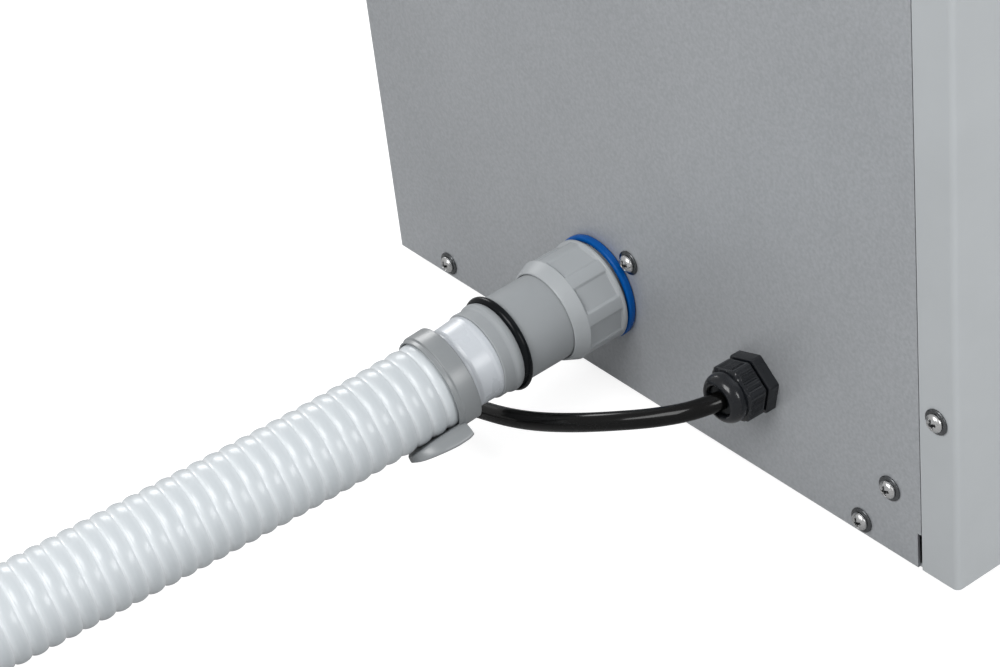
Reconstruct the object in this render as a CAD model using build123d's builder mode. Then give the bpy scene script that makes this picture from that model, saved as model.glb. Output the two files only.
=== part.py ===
from build123d import *
import os
from math import cos, pi, radians, sin, tan

# Sheet-metal refrigerant dehumidifier, free-standing, with a condensate outlet and a power cable
# low on its left side.  Millimetres, +Z up, front towards -Y.  The origin is on the floor under the
# middle of the object's box, measured without the free hose and cable.

os.makedirs("parts", exist_ok=True)

# ---------------------------------------------------------------- driving dimensions
CABINET_W = 600.0
CABINET_D = 360.0
CABINET_H = 700.0
FOOT_H = 5.0
SHEET = 1.2
BEND = 2.5
RETURN = 18.7          # width of the front cover's return flange on each side
SEAM = 0.4             # gap between that flange and the side panel
LID_OVER = 1.6         # how far the lid's skirt stands outside the cabinet
LID_SKIRT = 20.0
FLANGE = 18.0          # inward flanges of the side panels
PAN_H = 25.0
KNOB_REACH = 14.0

OUTLET_Y = 207.6       # condensate outlet, from the front face
OUTLET_Z = 47.2        # and above the cabinet's lower edge
DROOP = 2.2            # degrees by which the spigot points down
SPIGOT_R = 20.8
SPIGOT_L = 24.0
GASKET_R = 23.8
GASKET_T = 3.5
NUT_R = 23.5
NUT_START = 4.5
NUT_END = 31.0
TAIL_R = 19.5
TAIL_BORE = 16.5
TAIL_END = 67.8
TAIL_LIP_R = 18.9
O_RING_AT = 55.8
O_RING_SECTION = 1.6
O_RING_R = 19.8

GLAND_Y = 109.6
GLAND_Z = 46.2
GLAND_AF = 24.0
GLAND_TURN = 17.0        # degrees from the +Y side to a corner of its hexagon
CABLE_R = 4.0
HOSE_R = 19.65
HOSE_BORE = 15.5

FAN_R = 142.0
FAN_Y = 262.0
FAN_Z = 470.0

SCREW_R = 2.0
SCREW_HOLE_R = 2.2

# ---------------------------------------------------------------- one flanged pan-head screw
with BuildPart() as screw:
    with BuildSketch(Plane.XZ):
        with BuildLine():
            Polyline((0, -8), (SCREW_R, -8), (SCREW_R, 0), (5.5, 0), (5.5, 0.7), (4.6, 1.1), (4.3, 1.2))
            ThreePointArc((4.3, 1.2), (3.2, 2.9), (0, 3.5))
            Line((0, 3.5), (0, -8))
        make_face()
    revolve(axis=Axis.Z)
    with BuildSketch(Plane.XY.offset(3.6)):
        Rectangle(5.0, 1.0)
        Rectangle(1.0, 5.0)
    extrude(amount=-1.8, mode=Mode.SUBTRACT)

# ---------------------------------------------------------------- derived places
SCREW_HEAD = screw.part.bounding_box().max.Z
TAIL_REACH = TAIL_END * cos(radians(DROOP)) + TAIL_LIP_R * sin(radians(DROOP))
LEFT = -(CABINET_W + TAIL_REACH + SCREW_HEAD) / 2 + TAIL_REACH
RIGHT = LEFT + CABINET_W
MID_X = (LEFT + RIGHT) / 2
FRONT = -(CABINET_D + KNOB_REACH + SCREW_HEAD) / 2 + KNOB_REACH
BACK = FRONT + CABINET_D
MID_Y = (FRONT + BACK) / 2
LOW = FOOT_H
TOP = FOOT_H + CABINET_H


def out(away, y, z):
    """A point given by its distance out from the left side, from the front face and above the lower edge."""
    return Vector(LEFT - away, FRONT + y, LOW + z)


def block(x0, x1, y0, y1, z0, z1, mode=Mode.ADD):
    """A box from its low and high sides, in the current part."""
    with Locations(((x0 + x1) / 2, (y0 + y1) / 2, (z0 + z1) / 2)):
        Box(x1 - x0, y1 - y0, z1 - z0, mode=mode)


def save(piece, name):
    piece.part.label = name
    export_step(piece.part, f"parts/{name}.step")


def bend_radii(points):
    """The largest even arc at each corner of a route: 0.45 of its shorter run."""
    radii = []
    for before, here, after in zip(points, points[1:], points[2:]):
        run_in, run_out = here - before, after - here
        turn = radians(run_in.get_angle(run_out))
        radii.append(0.45 * min(run_in.length, run_out.length) / tan(turn / 2))
    return radii


def left_plane(away, y, z):
    """A plane facing out of the left side."""
    return Plane(origin=out(away, y, z), x_dir=(0, 1, 0), z_dir=(-1, 0, 0))


def right_plane(y, z):
    """A plane on the right side that faces out of it."""
    return Plane(origin=(RIGHT, FRONT + y, LOW + z), x_dir=(0, 1, 0), z_dir=(1, 0, 0))


def rear_plane(x, z):
    """A plane on the rear that faces out of it, from the cabinet's middle and above the lower edge."""
    return Plane(origin=(MID_X + x, BACK, LOW + z), x_dir=(1, 0, 0), z_dir=(0, 1, 0))


# Screw places on the left side, from the front face and above the lower edge.  The right side has
# three of the lower screws and one of the upper ones, and the same cover screws.
PANEL_SCREWS = [(35.4, 31.4), (51.6, 6.6), (186.1, 68.0), (320.9, 6.9)]
UPPER_SCREWS = [(35.4, 560.0), (200.0, 672.0), (345.0, 350.0)]
COVER_SCREWS = [(9.8, 76.7), (9.8, 360.0), (9.8, 640.0)]
LEFT_SCREWS = PANEL_SCREWS + UPPER_SCREWS
RIGHT_SCREWS = PANEL_SCREWS[:2] + PANEL_SCREWS[3:] + UPPER_SCREWS[1:2]


# ---------------------------------------------------------------- fasteners
def screws(name, planes):
    with BuildPart() as group:
        with Locations(*planes):
            add(screw.part)
    save(group, name)


REAR_SCREWS = [(side * (CABINET_W / 2 - 9.0), z) for side in (-1, 1) for z in (60.0, 250.0, 450.0, 640.0)]
screws("left_panel_screws", [left_plane(0, y, z) for y, z in LEFT_SCREWS])
screws("right_panel_screws", [right_plane(y, z) for y, z in RIGHT_SCREWS])
screws("cover_screws",
       [left_plane(0, y, z) for y, z in COVER_SCREWS] + [right_plane(y, z) for y, z in COVER_SCREWS])
screws("rear_panel_screws", [rear_plane(x, z) for x, z in REAR_SCREWS])

# ---------------------------------------------------------------- base pan and feet
FOOT_IN = 55.0
FOOT_SPOTS = [(x, y) for x in (LEFT + FOOT_IN, RIGHT - FOOT_IN) for y in (FRONT + FOOT_IN, BACK - FOOT_IN)]
PAN_T = 1.5
with BuildPart() as base_pan:
    block(LEFT + SHEET, RIGHT - SHEET, FRONT + SHEET, BACK - 2 * SHEET, LOW, LOW + PAN_H)
    block(LEFT + SHEET + PAN_T, RIGHT - SHEET - PAN_T, FRONT + SHEET + PAN_T, BACK - 2 * SHEET - PAN_T,
          LOW + PAN_T, LOW + PAN_H, mode=Mode.SUBTRACT)
    for x in (LEFT + 4, RIGHT - 4):
        for y, reach in ((FRONT + 12, 22), (BACK - 6, 8)):
            block(x - 4, x + 4, y - reach / 2, y + reach / 2, LOW + PAN_T, LOW + PAN_H, mode=Mode.SUBTRACT)
    with Locations(*[(x, y, LOW) for x, y in FOOT_SPOTS]):
        Cylinder(SCREW_HOLE_R, 10, mode=Mode.SUBTRACT)
    side_holes = [y for y, z in PANEL_SCREWS if z < PAN_H]
    for x in (LEFT + SHEET, RIGHT - SHEET):
        for y in side_holes:
            with Locations(Plane(origin=(x, FRONT + y, LOW + 6.8), z_dir=(1, 0, 0))):
                Cylinder(SCREW_HOLE_R, 6, mode=Mode.SUBTRACT)
save(base_pan, "base_pan")

with BuildPart() as rubber_feet:
    with Locations(*[(x, y, 0) for x, y in FOOT_SPOTS]):
        Cone(14, 16, FOOT_H, align=(Align.CENTER, Align.CENTER, Align.MIN))
save(rubber_feet, "rubber_feet")

# ---------------------------------------------------------------- side panels
PANEL_FRONT = FRONT + RETURN + SEAM
JOGGLE = SHEET + 0.1
FILTER_Y0 = FRONT + 26.0
FILTER_T = 12.0
FILTER_W = 500.0
FILTER_H = 320.0
FILTER_Z = 455.0
SLOT_GAP = 1.0


def panel_plan(side):
    """The side panel seen from above: rear flange, wall, and the joggled strip behind the front cover."""
    wall = LEFT if side < 0 else RIGHT
    inward = -side
    with Locations((wall + inward * SHEET / 2, (PANEL_FRONT + BACK) / 2)):
        Rectangle(SHEET, BACK - PANEL_FRONT)
    with Locations((wall + inward * FLANGE / 2, BACK - SHEET / 2)):
        Rectangle(FLANGE, SHEET)


def joggle_plan(side):
    wall = LEFT if side < 0 else RIGHT
    inward = -side
    strip_y0, strip_y1 = FRONT + 3.0, PANEL_FRONT + 3.0
    with Locations((wall + inward * (JOGGLE + SHEET / 2), (strip_y0 + strip_y1) / 2)):
        Rectangle(SHEET, strip_y1 - strip_y0)
    with Locations((wall + inward * (SHEET + 0.05), strip_y1 - 1.0)):
        Rectangle(2 * SHEET - 0.1, 2.0)


def side_panel(side):
    wall = LEFT if side < 0 else RIGHT
    inward = -side
    with BuildPart() as panel:
        with BuildSketch(Plane.XY.offset(LOW)):
            panel_plan(side)
        extrude(amount=CABINET_H - SHEET)
        with BuildSketch(Plane.XY.offset(LOW + PAN_H + 1)):
            joggle_plan(side)
        extrude(amount=CABINET_H - LID_SKIRT - PAN_H - 6)
        flange_x = sorted((wall, wall + inward * FLANGE))
        block(*flange_x, PANEL_FRONT + 4, BACK - SHEET, TOP - 2 * SHEET, TOP - SHEET)
        outer_bend = panel.edges().filter_by(Axis.Z).filter_by_position(Axis.Y, BACK - 0.01, BACK + 0.01)
        fillet(outer_bend.filter_by_position(Axis.X, wall - 0.01, wall + 0.01), SHEET * 0.9)
        notch_z = LOW + 17.0
        block(wall - 3, wall + 3, PANEL_FRONT - 1, PANEL_FRONT + 1.9, LOW - 1, notch_z, mode=Mode.SUBTRACT)
        for y, z in (LEFT_SCREWS if side < 0 else RIGHT_SCREWS) + COVER_SCREWS:
            with Locations(Plane(origin=(wall, FRONT + y, LOW + z), z_dir=(1, 0, 0))):
                Cylinder(SCREW_HOLE_R, 8, mode=Mode.SUBTRACT)
        with Locations(*[rear_plane(x, z) for x, z in REAR_SCREWS]):
            Cylinder(SCREW_HOLE_R, 8, mode=Mode.SUBTRACT)
        if side < 0:
            with Locations(left_plane(0, OUTLET_Y, OUTLET_Z)):
                Cylinder(SPIGOT_R + 0.9, 8, mode=Mode.SUBTRACT)
            with Locations(left_plane(0, GLAND_Y, GLAND_Z)):
                Cylinder(10.2, 8, mode=Mode.SUBTRACT)
        else:
            block(wall - 5, wall + 5, FILTER_Y0 - SLOT_GAP, FILTER_Y0 + FILTER_T + SLOT_GAP,
                  FILTER_Z - FILTER_H / 2 - SLOT_GAP, FILTER_Z + FILTER_H / 2 + SLOT_GAP, mode=Mode.SUBTRACT)
    return panel


left_side_panel = side_panel(-1)
save(left_side_panel, "left_side_panel")
right_side_panel = side_panel(1)
save(right_side_panel, "right_side_panel")

# ---------------------------------------------------------------- front cover, rear panel and lid
GRILLE_W = 430.0
GRILLE_H = 300.0
GRILLE_Z = FILTER_Z
CONTROL_W = 190.0
CONTROL_H = 48.0
CONTROL_X = MID_X + 130.0
CONTROL_Z = 648.0

with BuildPart() as front_cover:
    with BuildSketch(Plane.XY.offset(LOW)):
        with Locations((MID_X, FRONT + RETURN / 2)):
            outline = Rectangle(CABINET_W, RETURN)
        fillet(outline.vertices().group_by(Axis.Y)[0], BEND)
        with Locations((MID_X, FRONT + SHEET + RETURN / 2)):
            Rectangle(CABINET_W - 2 * SHEET, RETURN, mode=Mode.SUBTRACT)
    extrude(amount=CABINET_H - SHEET)
    block(LEFT + SHEET, RIGHT - SHEET, FRONT + SHEET, FRONT + 14, TOP - 2 * SHEET, TOP - SHEET)
    block(MID_X - GRILLE_W / 2, MID_X + GRILLE_W / 2, FRONT - 5, FRONT + 5,
          GRILLE_Z - GRILLE_H / 2, GRILLE_Z + GRILLE_H / 2, mode=Mode.SUBTRACT)
    block(CONTROL_X - CONTROL_W / 2, CONTROL_X + CONTROL_W / 2, FRONT - 5, FRONT + 5,
          CONTROL_Z - CONTROL_H / 2, CONTROL_Z + CONTROL_H / 2, mode=Mode.SUBTRACT)
    for wall in (LEFT, RIGHT):
        for y, z in COVER_SCREWS:
            with Locations(Plane(origin=(wall, FRONT + y, LOW + z), z_dir=(1, 0, 0))):
                Cylinder(SCREW_HOLE_R, 5, mode=Mode.SUBTRACT)
save(front_cover, "front_cover")

GUARD_R = 152.0
with BuildPart() as rear_panel:
    block(LEFT + SHEET, RIGHT - SHEET, BACK - 2 * SHEET, BACK - SHEET, LOW, TOP - 2 * SHEET)
    with Locations(Plane(origin=(MID_X, BACK, FAN_Z), z_dir=(0, 1, 0))):
        Cylinder(GUARD_R, 10, mode=Mode.SUBTRACT)
    with Locations(*[rear_plane(x, z) for x, z in REAR_SCREWS]):
        Cylinder(SCREW_HOLE_R, 10, mode=Mode.SUBTRACT)
save(rear_panel, "rear_panel")

with BuildPart() as top_cover:
    with BuildSketch(Plane.XY.offset(TOP - LID_SKIRT)):
        with Locations((MID_X, MID_Y)):
            RectangleRounded(CABINET_W + 2 * LID_OVER, CABINET_D + 2 * LID_OVER, 2.8)
    extrude(amount=LID_SKIRT)
    fillet(top_cover.faces().sort_by(Axis.Z)[-1].edges(), 1.5)
    with BuildSketch(Plane.XY.offset(TOP - LID_SKIRT)):
        with Locations((MID_X, MID_Y)):
            RectangleRounded(CABINET_W + 2 * (LID_OVER - SHEET), CABINET_D + 2 * (LID_OVER - SHEET), 1.0)
    extrude(amount=LID_SKIRT - SHEET, mode=Mode.SUBTRACT)
save(top_cover, "top_cover")

# ---------------------------------------------------------------- intake grille and outlet guard
SLAT_COUNT = 22
with BuildPart() as intake_grille:
    with BuildSketch(Plane(origin=(MID_X, FRONT, GRILLE_Z), x_dir=(1, 0, 0), z_dir=(0, -1, 0))):
        RectangleRounded(GRILLE_W + 20, GRILLE_H + 20, 8)
        Rectangle(GRILLE_W - 8, GRILLE_H - 8, mode=Mode.SUBTRACT)
    extrude(amount=2.0)
    with BuildSketch(Plane(origin=(MID_X, FRONT, GRILLE_Z), x_dir=(1, 0, 0), z_dir=(0, 1, 0))):
        Rectangle(GRILLE_W - 1, GRILLE_H - 1)
        Rectangle(GRILLE_W - 8, GRILLE_H - 8, mode=Mode.SUBTRACT)
    extrude(amount=12.0)
    slat_pitch = (GRILLE_H - 8) / (SLAT_COUNT + 1)
    first_slat = GRILLE_Z - GRILLE_H / 2 + 4 + slat_pitch
    slats = [(MID_X, FRONT + 4.5, first_slat + slat_pitch * i) for i in range(SLAT_COUNT)]
    with Locations(*slats):
        Box(GRILLE_W - 6, 12, 1.6, rotation=(35, 0, 0))
    for x in (-GRILLE_W / 4, 0, GRILLE_W / 4):
        block(MID_X + x - 1, MID_X + x + 1, FRONT + 6, FRONT + 11, GRILLE_Z - GRILLE_H / 2 + 2,
              GRILLE_Z + GRILLE_H / 2 - 2)
save(intake_grille, "intake_grille")

RING_COUNT = 9
GUARD_PLANE = Plane(origin=(MID_X, BACK - SHEET + 1.05, FAN_Z), x_dir=(1, 0, 0), z_dir=(0, 1, 0))
with BuildPart() as outlet_guard:
    with Locations(GUARD_PLANE):
        for i in range(RING_COUNT):
            Torus(GUARD_R * (i + 2) / (RING_COUNT + 1.5), 1.3)
        Cylinder(24, 2.4)
    for turn in range(0, 180, 45):
        with Locations(GUARD_PLANE):
            Box(2 * GUARD_R + 10, 3, 2.0, rotation=(0, 0, turn))
save(outlet_guard, "outlet_guard")

# ---------------------------------------------------------------- air filter, slides out to the right
FILTER_X1 = RIGHT + 0.4
FILTER_X0 = RIGHT - FILTER_W
with BuildPart() as filter_frame:
    y0, y1 = FILTER_Y0, FILTER_Y0 + FILTER_T
    z0, z1 = FILTER_Z - FILTER_H / 2, FILTER_Z + FILTER_H / 2
    block(FILTER_X0, FILTER_X1, y0, y1, z0, z1)
    block(FILTER_X0 + 10, FILTER_X1 - 40, y0, y1, z0 + 10, z1 - 10, mode=Mode.SUBTRACT)
    for x in (FILTER_X0 + 160, FILTER_X0 + 310):
        block(x - 2, x + 2, y1 - 3, y1, z0 + 8, z1 - 8)
    block(FILTER_X1 - 38, FILTER_X1, y0 + 3, y0 + 9, FILTER_Z - 45, FILTER_Z + 45, mode=Mode.SUBTRACT)
    block(FILTER_X1, FILTER_X1 + 1.1, y0 - 4, y1 + 4, z0 - 6, z1 + 6)
    block(FILTER_X1 - 25, FILTER_X1 + 5, y0 + 3, y0 + 9, FILTER_Z - 40, FILTER_Z + 40, mode=Mode.SUBTRACT)
save(filter_frame, "filter_frame")

PLEATS = 50
MEDIA_W = FILTER_X1 - 40 - FILTER_X0 - 10 - 1
with BuildPart() as filter_media:
    pitch = MEDIA_W / PLEATS
    near = [(FILTER_X0 + 10.5 + pitch * i / 2, FILTER_Y0 + (1.0 if i % 2 else 5.6))
            for i in range(2 * PLEATS + 1)]
    far = [(x, y + 2.2) for x, y in reversed(near)]
    with BuildSketch(Plane.XY.offset(FILTER_Z - FILTER_H / 2 + 10.2)):
        with BuildLine():
            Polyline(*near, *far, close=True)
        make_face()
    extrude(amount=FILTER_H - 20.4)
save(filter_media, "filter_media")

with BuildPart() as filter_rails:
    for z_in, z_out in ((FILTER_Z - FILTER_H / 2 - 0.5, FILTER_Z - FILTER_H / 2 - 3.5),
                        (FILTER_Z + FILTER_H / 2 + 0.5, FILTER_Z + FILTER_H / 2 + 3.5)):
        z0, z1 = sorted((z_in, z_out))
        block(FILTER_X0 - 5, RIGHT - SHEET, FILTER_Y0 - 2.5, FILTER_Y0 + FILTER_T + 11, z0, z1)
        lip0, lip1 = sorted((z_in, z_in + (6 if z_out < z_in else -6)))
        block(FILTER_X0 - 5, RIGHT - 4, FILTER_Y0 - 2.5, FILTER_Y0 - 0.5, lip0, lip1)
        block(FILTER_X0 - 5, RIGHT - 4, FILTER_Y0 + FILTER_T + 0.5, FILTER_Y0 + FILTER_T + 2.5, lip0, lip1)
save(filter_rails, "filter_rails")

# ---------------------------------------------------------------- evaporator, condenser and drip tray
COIL_W = 470.0
COIL_H = 330.0
COIL_X0 = LEFT + 75.0
COIL_Z0 = FILTER_Z - COIL_H / 2
BEND_COUNT = 7
TRAY_Z1 = COIL_Z0 - 6.0
TRAY_Z0 = TRAY_Z1 - 26.0
TRAY_FLOOR = TRAY_Z0 + 3.0


def coil(name, y0, depth):
    """A finned coil: fin pack, two end plates, and the return bends that stick out of them."""
    with BuildPart() as piece:
        block(COIL_X0, COIL_X0 + COIL_W, y0, y0 + depth, COIL_Z0, COIL_Z0 + COIL_H)
        for x in (COIL_X0 - 1.5, COIL_X0 + COIL_W):
            block(x, x + 1.5, y0 - 3, y0 + depth + 3, TRAY_FLOOR, COIL_Z0 + COIL_H + 3)
        pitch = COIL_H / (BEND_COUNT + 1)
        bends = [Plane(origin=(COIL_X0 - 1.5, y0 + depth / 2, COIL_Z0 + pitch * (i + 1)),
                       x_dir=(0, 0, -1), z_dir=(0, 1, 0)) for i in range(BEND_COUNT)]
        with Locations(*bends):
            Torus(11, 4, major_angle=180)
    save(piece, name)


EVAPORATOR_Y = FRONT + 52.0
EVAPORATOR_D = 44.0
CONDENSER_Y = EVAPORATOR_Y + EVAPORATOR_D + 16.0
CONDENSER_D = 44.0
coil("evaporator_coil", EVAPORATOR_Y, EVAPORATOR_D)
coil("condenser_coil", CONDENSER_Y, CONDENSER_D)

TRAY_X0, TRAY_X1 = LEFT + 30.0, COIL_X0 + COIL_W + 20.0
TRAY_Y0, TRAY_Y1 = FRONT + 45.0, FRONT + 238.0
TRAY_HOLE = (LEFT + 52.0, FRONT + OUTLET_Y)
with BuildPart() as drip_tray:
    block(TRAY_X0, TRAY_X1, TRAY_Y0, TRAY_Y1, TRAY_Z0, TRAY_Z1)
    block(TRAY_X0 + 3, TRAY_X1 - 3, TRAY_Y0 + 3, TRAY_Y1 - 3, TRAY_FLOOR, TRAY_Z1, mode=Mode.SUBTRACT)
    fillet(drip_tray.edges().filter_by(Axis.Z), 1.4)
    with Locations((*TRAY_HOLE, TRAY_Z0)):
        Cylinder(16, 20, align=(Align.CENTER, Align.CENTER, Align.MAX))
        Cylinder(13, 60, mode=Mode.SUBTRACT)
save(drip_tray, "drip_tray")

# ---------------------------------------------------------------- condensate outlet
SPIGOT = Plane(origin=out(0, OUTLET_Y, OUTLET_Z), x_dir=(0, 1, 0),
               z_dir=(-cos(radians(DROOP)), 0, -sin(radians(DROOP))))
FLANGE_IN = SHEET + 1.3


def ring_profile(points):
    """A closed half-section turned about the spigot's axis; points are (radius, distance out)."""
    side = Plane(origin=SPIGOT.origin, x_dir=SPIGOT.x_dir, z_dir=SPIGOT.x_dir.cross(SPIGOT.z_dir))
    with BuildSketch(side, mode=Mode.PRIVATE) as half:
        with BuildLine():
            Polyline(*points, close=True)
        make_face()
    revolve(half.sketch, axis=Axis(SPIGOT.origin, SPIGOT.z_dir))


with BuildPart() as drain_spigot:
    ring_profile([(17.2, SPIGOT_L), (SPIGOT_R, SPIGOT_L), (SPIGOT_R, -FLANGE_IN), (27, -FLANGE_IN),
                  (27, -FLANGE_IN - 4), (17.2, -FLANGE_IN - 4)])
    with Locations(Plane(origin=(TRAY_HOLE[0], TRAY_HOLE[1], LOW + OUTLET_Z - 18), z_dir=(0, 0, 1))):
        Cylinder(20, TRAY_Z0 - 8 - LOW - OUTLET_Z + 18, align=(Align.CENTER, Align.CENTER, Align.MIN))
    with Locations(left_plane(-FLANGE_IN - 2, OUTLET_Y, OUTLET_Z)):
        Cylinder(18.5, TRAY_HOLE[0] - LEFT - FLANGE_IN, align=(Align.CENTER, Align.CENTER, Align.MAX))
        Cylinder(15.5, TRAY_HOLE[0] - LEFT - FLANGE_IN, align=(Align.CENTER, Align.CENTER, Align.MAX),
                 mode=Mode.SUBTRACT)
    with Locations(Plane(origin=(TRAY_HOLE[0], TRAY_HOLE[1], LOW + OUTLET_Z - 15), z_dir=(0, 0, 1))):
        Cylinder(16.4, 400, align=(Align.CENTER, Align.CENTER, Align.MIN), mode=Mode.SUBTRACT)
    with Locations(SPIGOT):
        Cylinder(17.2, 18, mode=Mode.SUBTRACT)
save(drain_spigot, "drain_spigot")

with BuildPart() as drain_gasket:
    with Locations(left_plane(0, OUTLET_Y, OUTLET_Z)):
        Cylinder(GASKET_R, GASKET_T, align=(Align.CENTER, Align.CENTER, Align.MIN))
        Cylinder(SPIGOT_R + 0.3, 3 * GASKET_T, mode=Mode.SUBTRACT)
    fillet(drain_gasket.edges().filter_by(GeomType.CIRCLE).group_by(Axis.X)[0].sort_by(SortBy.RADIUS)[-1], 1.0)
save(drain_gasket, "drain_gasket")

NUT_BODY_R = 22.0
NUT_LANDS = 8
NUT_TURN = 12.5          # degrees from the +Y side to the first land
LAND_FACE = 23.05        # distance of a land's flat face from the axis
LAND_W = 6.1
GRIP_START = 6.2
GRIP_END = 24.6
with BuildPart() as drain_nut:
    bore = SPIGOT_R + 0.08
    ring_profile([(bore, NUT_START), (NUT_R - 0.5, NUT_START), (NUT_R, NUT_START + 0.5), (NUT_R, GRIP_START),
                  (NUT_BODY_R, GRIP_START + 0.4), (NUT_BODY_R, GRIP_END), (LAND_FACE, GRIP_END), (21.2, 29.6),
                  (20.6, NUT_END), (TAIL_R + 0.3, NUT_END), (TAIL_R + 0.3, 28.0), (bore, 27.6)])
    with Locations(SPIGOT.offset((GRIP_START + GRIP_END) / 2)):
        with PolarLocations(LAND_FACE - 0.8, NUT_LANDS, start_angle=NUT_TURN):
            Box(1.6, LAND_W, GRIP_END - GRIP_START)
save(drain_nut, "drain_nut")

with BuildPart() as drain_tailpiece:
    neck = O_RING_R - O_RING_SECTION
    ring_profile([(TAIL_BORE, SPIGOT_L + 0.4), (SPIGOT_R - 0.2, SPIGOT_L + 0.4), (SPIGOT_R - 0.2, 27.2),
                  (TAIL_R, 27.4), (TAIL_R, O_RING_AT - 1.7), (neck, O_RING_AT - 1.6), (neck, O_RING_AT + 1.6),
                  (19.9, O_RING_AT + 1.9), (20.3, 59.6), (19.2, 61.4), (TAIL_LIP_R, 63.0),
                  (TAIL_LIP_R, TAIL_END), (TAIL_BORE, TAIL_END)])
save(drain_tailpiece, "drain_tailpiece")

with BuildPart() as drain_o_ring:
    with Locations(SPIGOT.offset(O_RING_AT)):
        Torus(O_RING_R, O_RING_SECTION)
save(drain_o_ring, "drain_o_ring")

# ---------------------------------------------------------------- hose end, clip and drain hose
CUFF_START = SPIGOT.origin + SPIGOT.z_dir * TAIL_END
CUFF_DIR = Vector(-24, 1.2, -3.2).normalized()
CUFF = Plane(origin=CUFF_START, x_dir=Vector(0, 0, 1).cross(CUFF_DIR).normalized(), z_dir=CUFF_DIR)
CUFF_L = 13.0
CLIP_AT = 19.0
CLIP_W = 10.6
CLIP_R = 20.2
CLIP_T = 1.7

with BuildPart() as hose_cuff:
    with BuildSketch(Plane(origin=CUFF.origin, x_dir=CUFF.x_dir, z_dir=CUFF.x_dir.cross(CUFF.z_dir))):
        with BuildLine():
            Polyline((13.5, -6), (16.2, -6), (16.2, -2), (18.6, -2), (18.7, 1), (18.3, 10), (17.2, CUFF_L),
                     (14.8, CUFF_L + 1), (14.8, CUFF_L + 16), (13.5, CUFF_L + 16), close=True)
        make_face()
    revolve(axis=Axis(CUFF.origin, CUFF.z_dir))
save(hose_cuff, "hose_cuff")

# The clip is an open strap.  Its free end carries a thumb tongue that runs along under the hose.
TONGUE_T = 8.0
TONGUE_START = 17.7
TONGUE_END = 46.2


def sector(r_in, r_out, start, end):
    """Part of a ring between two angles, in degrees from the plane's x direction."""
    Circle(r_out)
    Circle(r_in, mode=Mode.SUBTRACT)
    reach = 3 * r_out
    middle = (start + end) / 2
    corners = [(reach * cos(radians(a)), reach * sin(radians(a))) for a in (start, middle, end)]
    with BuildLine(mode=Mode.PRIVATE) as wedge:
        Polyline((0, 0), *corners, close=True)
    make_face(wedge.edges(), mode=Mode.INTERSECT)


with BuildPart() as hose_clamp:
    with BuildSketch(CUFF.offset(CLIP_AT - CLIP_W / 2)):
        sector(CLIP_R, CLIP_R + CLIP_T, -35, 90)
    extrude(amount=CLIP_W)
    with BuildSketch(CUFF.offset(CLIP_AT - CLIP_W / 2)):
        sector(CLIP_R, CLIP_R + CLIP_T, 90, 245)
    extrude(amount=CLIP_W)
    with BuildSketch(CUFF.offset(TONGUE_START)):
        sector(CLIP_R, CLIP_R + TONGUE_T, -80, -28)
    extrude(amount=TONGUE_END - TONGUE_START)
save(hose_clamp, "hose_clamp")

# Route of the hose: out of the clip, down to the floor, and round in one loose half turn.
HOSE_TURN = 30.0
HOSE_STEP = 118.0
HOSE_STEPS = 6
hose_start = CUFF.origin + CUFF.z_dir * CUFF_L
hose_route = [hose_start, out(118, 211.4, 37.6), out(165, 217.0, 32.4), out(225, 225.2, 26.4),
              out(290, 234.5, 20.0), out(365, 244.5, 14.65)]
for i in range(HOSE_STEPS):
    heading = radians(-7 - HOSE_TURN * i)
    hose_route.append(hose_route[-1] + Vector(-cos(heading), sin(heading), 0) * HOSE_STEP)
hose_radii = bend_radii(hose_route)
print("hose bend radii", [round(r) for r in hose_radii])
with BuildPart() as drain_hose:
    with BuildLine() as hose_path:
        FilletPolyline(*hose_route, radius=hose_radii)
    with BuildSketch(Plane(origin=hose_path.line @ 0, z_dir=hose_path.line % 0)):
        Circle(HOSE_R)
        Circle(HOSE_BORE, mode=Mode.SUBTRACT)
    sweep()
print("hose length", round(hose_path.wires()[0].length),
      "volume ratio", drain_hose.part.volume / (hose_path.wires()[0].length * pi * (HOSE_R**2 - HOSE_BORE**2)))
save(drain_hose, "drain_hose")

END_CUFF_BORE = 15.0
END_CUFF_L = 42.0
with BuildPart() as hose_end_cuff:
    end_plane = Plane(origin=hose_path.line @ 1, z_dir=hose_path.line % 1)
    with BuildSketch(end_plane):
        Circle(18.6)
        Circle(END_CUFF_BORE, mode=Mode.SUBTRACT)
    extrude(amount=END_CUFF_L)
    with BuildSketch(end_plane):
        Circle(HOSE_R)
        Circle(END_CUFF_BORE, mode=Mode.SUBTRACT)
    extrude(amount=6)
print("hose end", end_plane.origin, end_plane.z_dir)
save(hose_end_cuff, "hose_end_cuff")

# ---------------------------------------------------------------- cable gland
with BuildPart() as gland_body:
    with BuildSketch(left_plane(0, GLAND_Y, GLAND_Z)):
        RegularPolygon(GLAND_AF / 2, 6, major_radius=False, rotation=GLAND_TURN)
    extrude(amount=5.0)
    chamfer(gland_body.faces().sort_by(Axis.X)[0].edges(), 0.6)
    with Locations(left_plane(0, GLAND_Y, GLAND_Z)):
        Cylinder(9.9, 12, align=(Align.CENTER, Align.CENTER, Align.MAX))
        Cylinder(9.6, 15, align=(Align.CENTER, Align.CENTER, Align.MIN))
        Cylinder(6.4, 60, mode=Mode.SUBTRACT)
save(gland_body, "gland_body")

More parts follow.
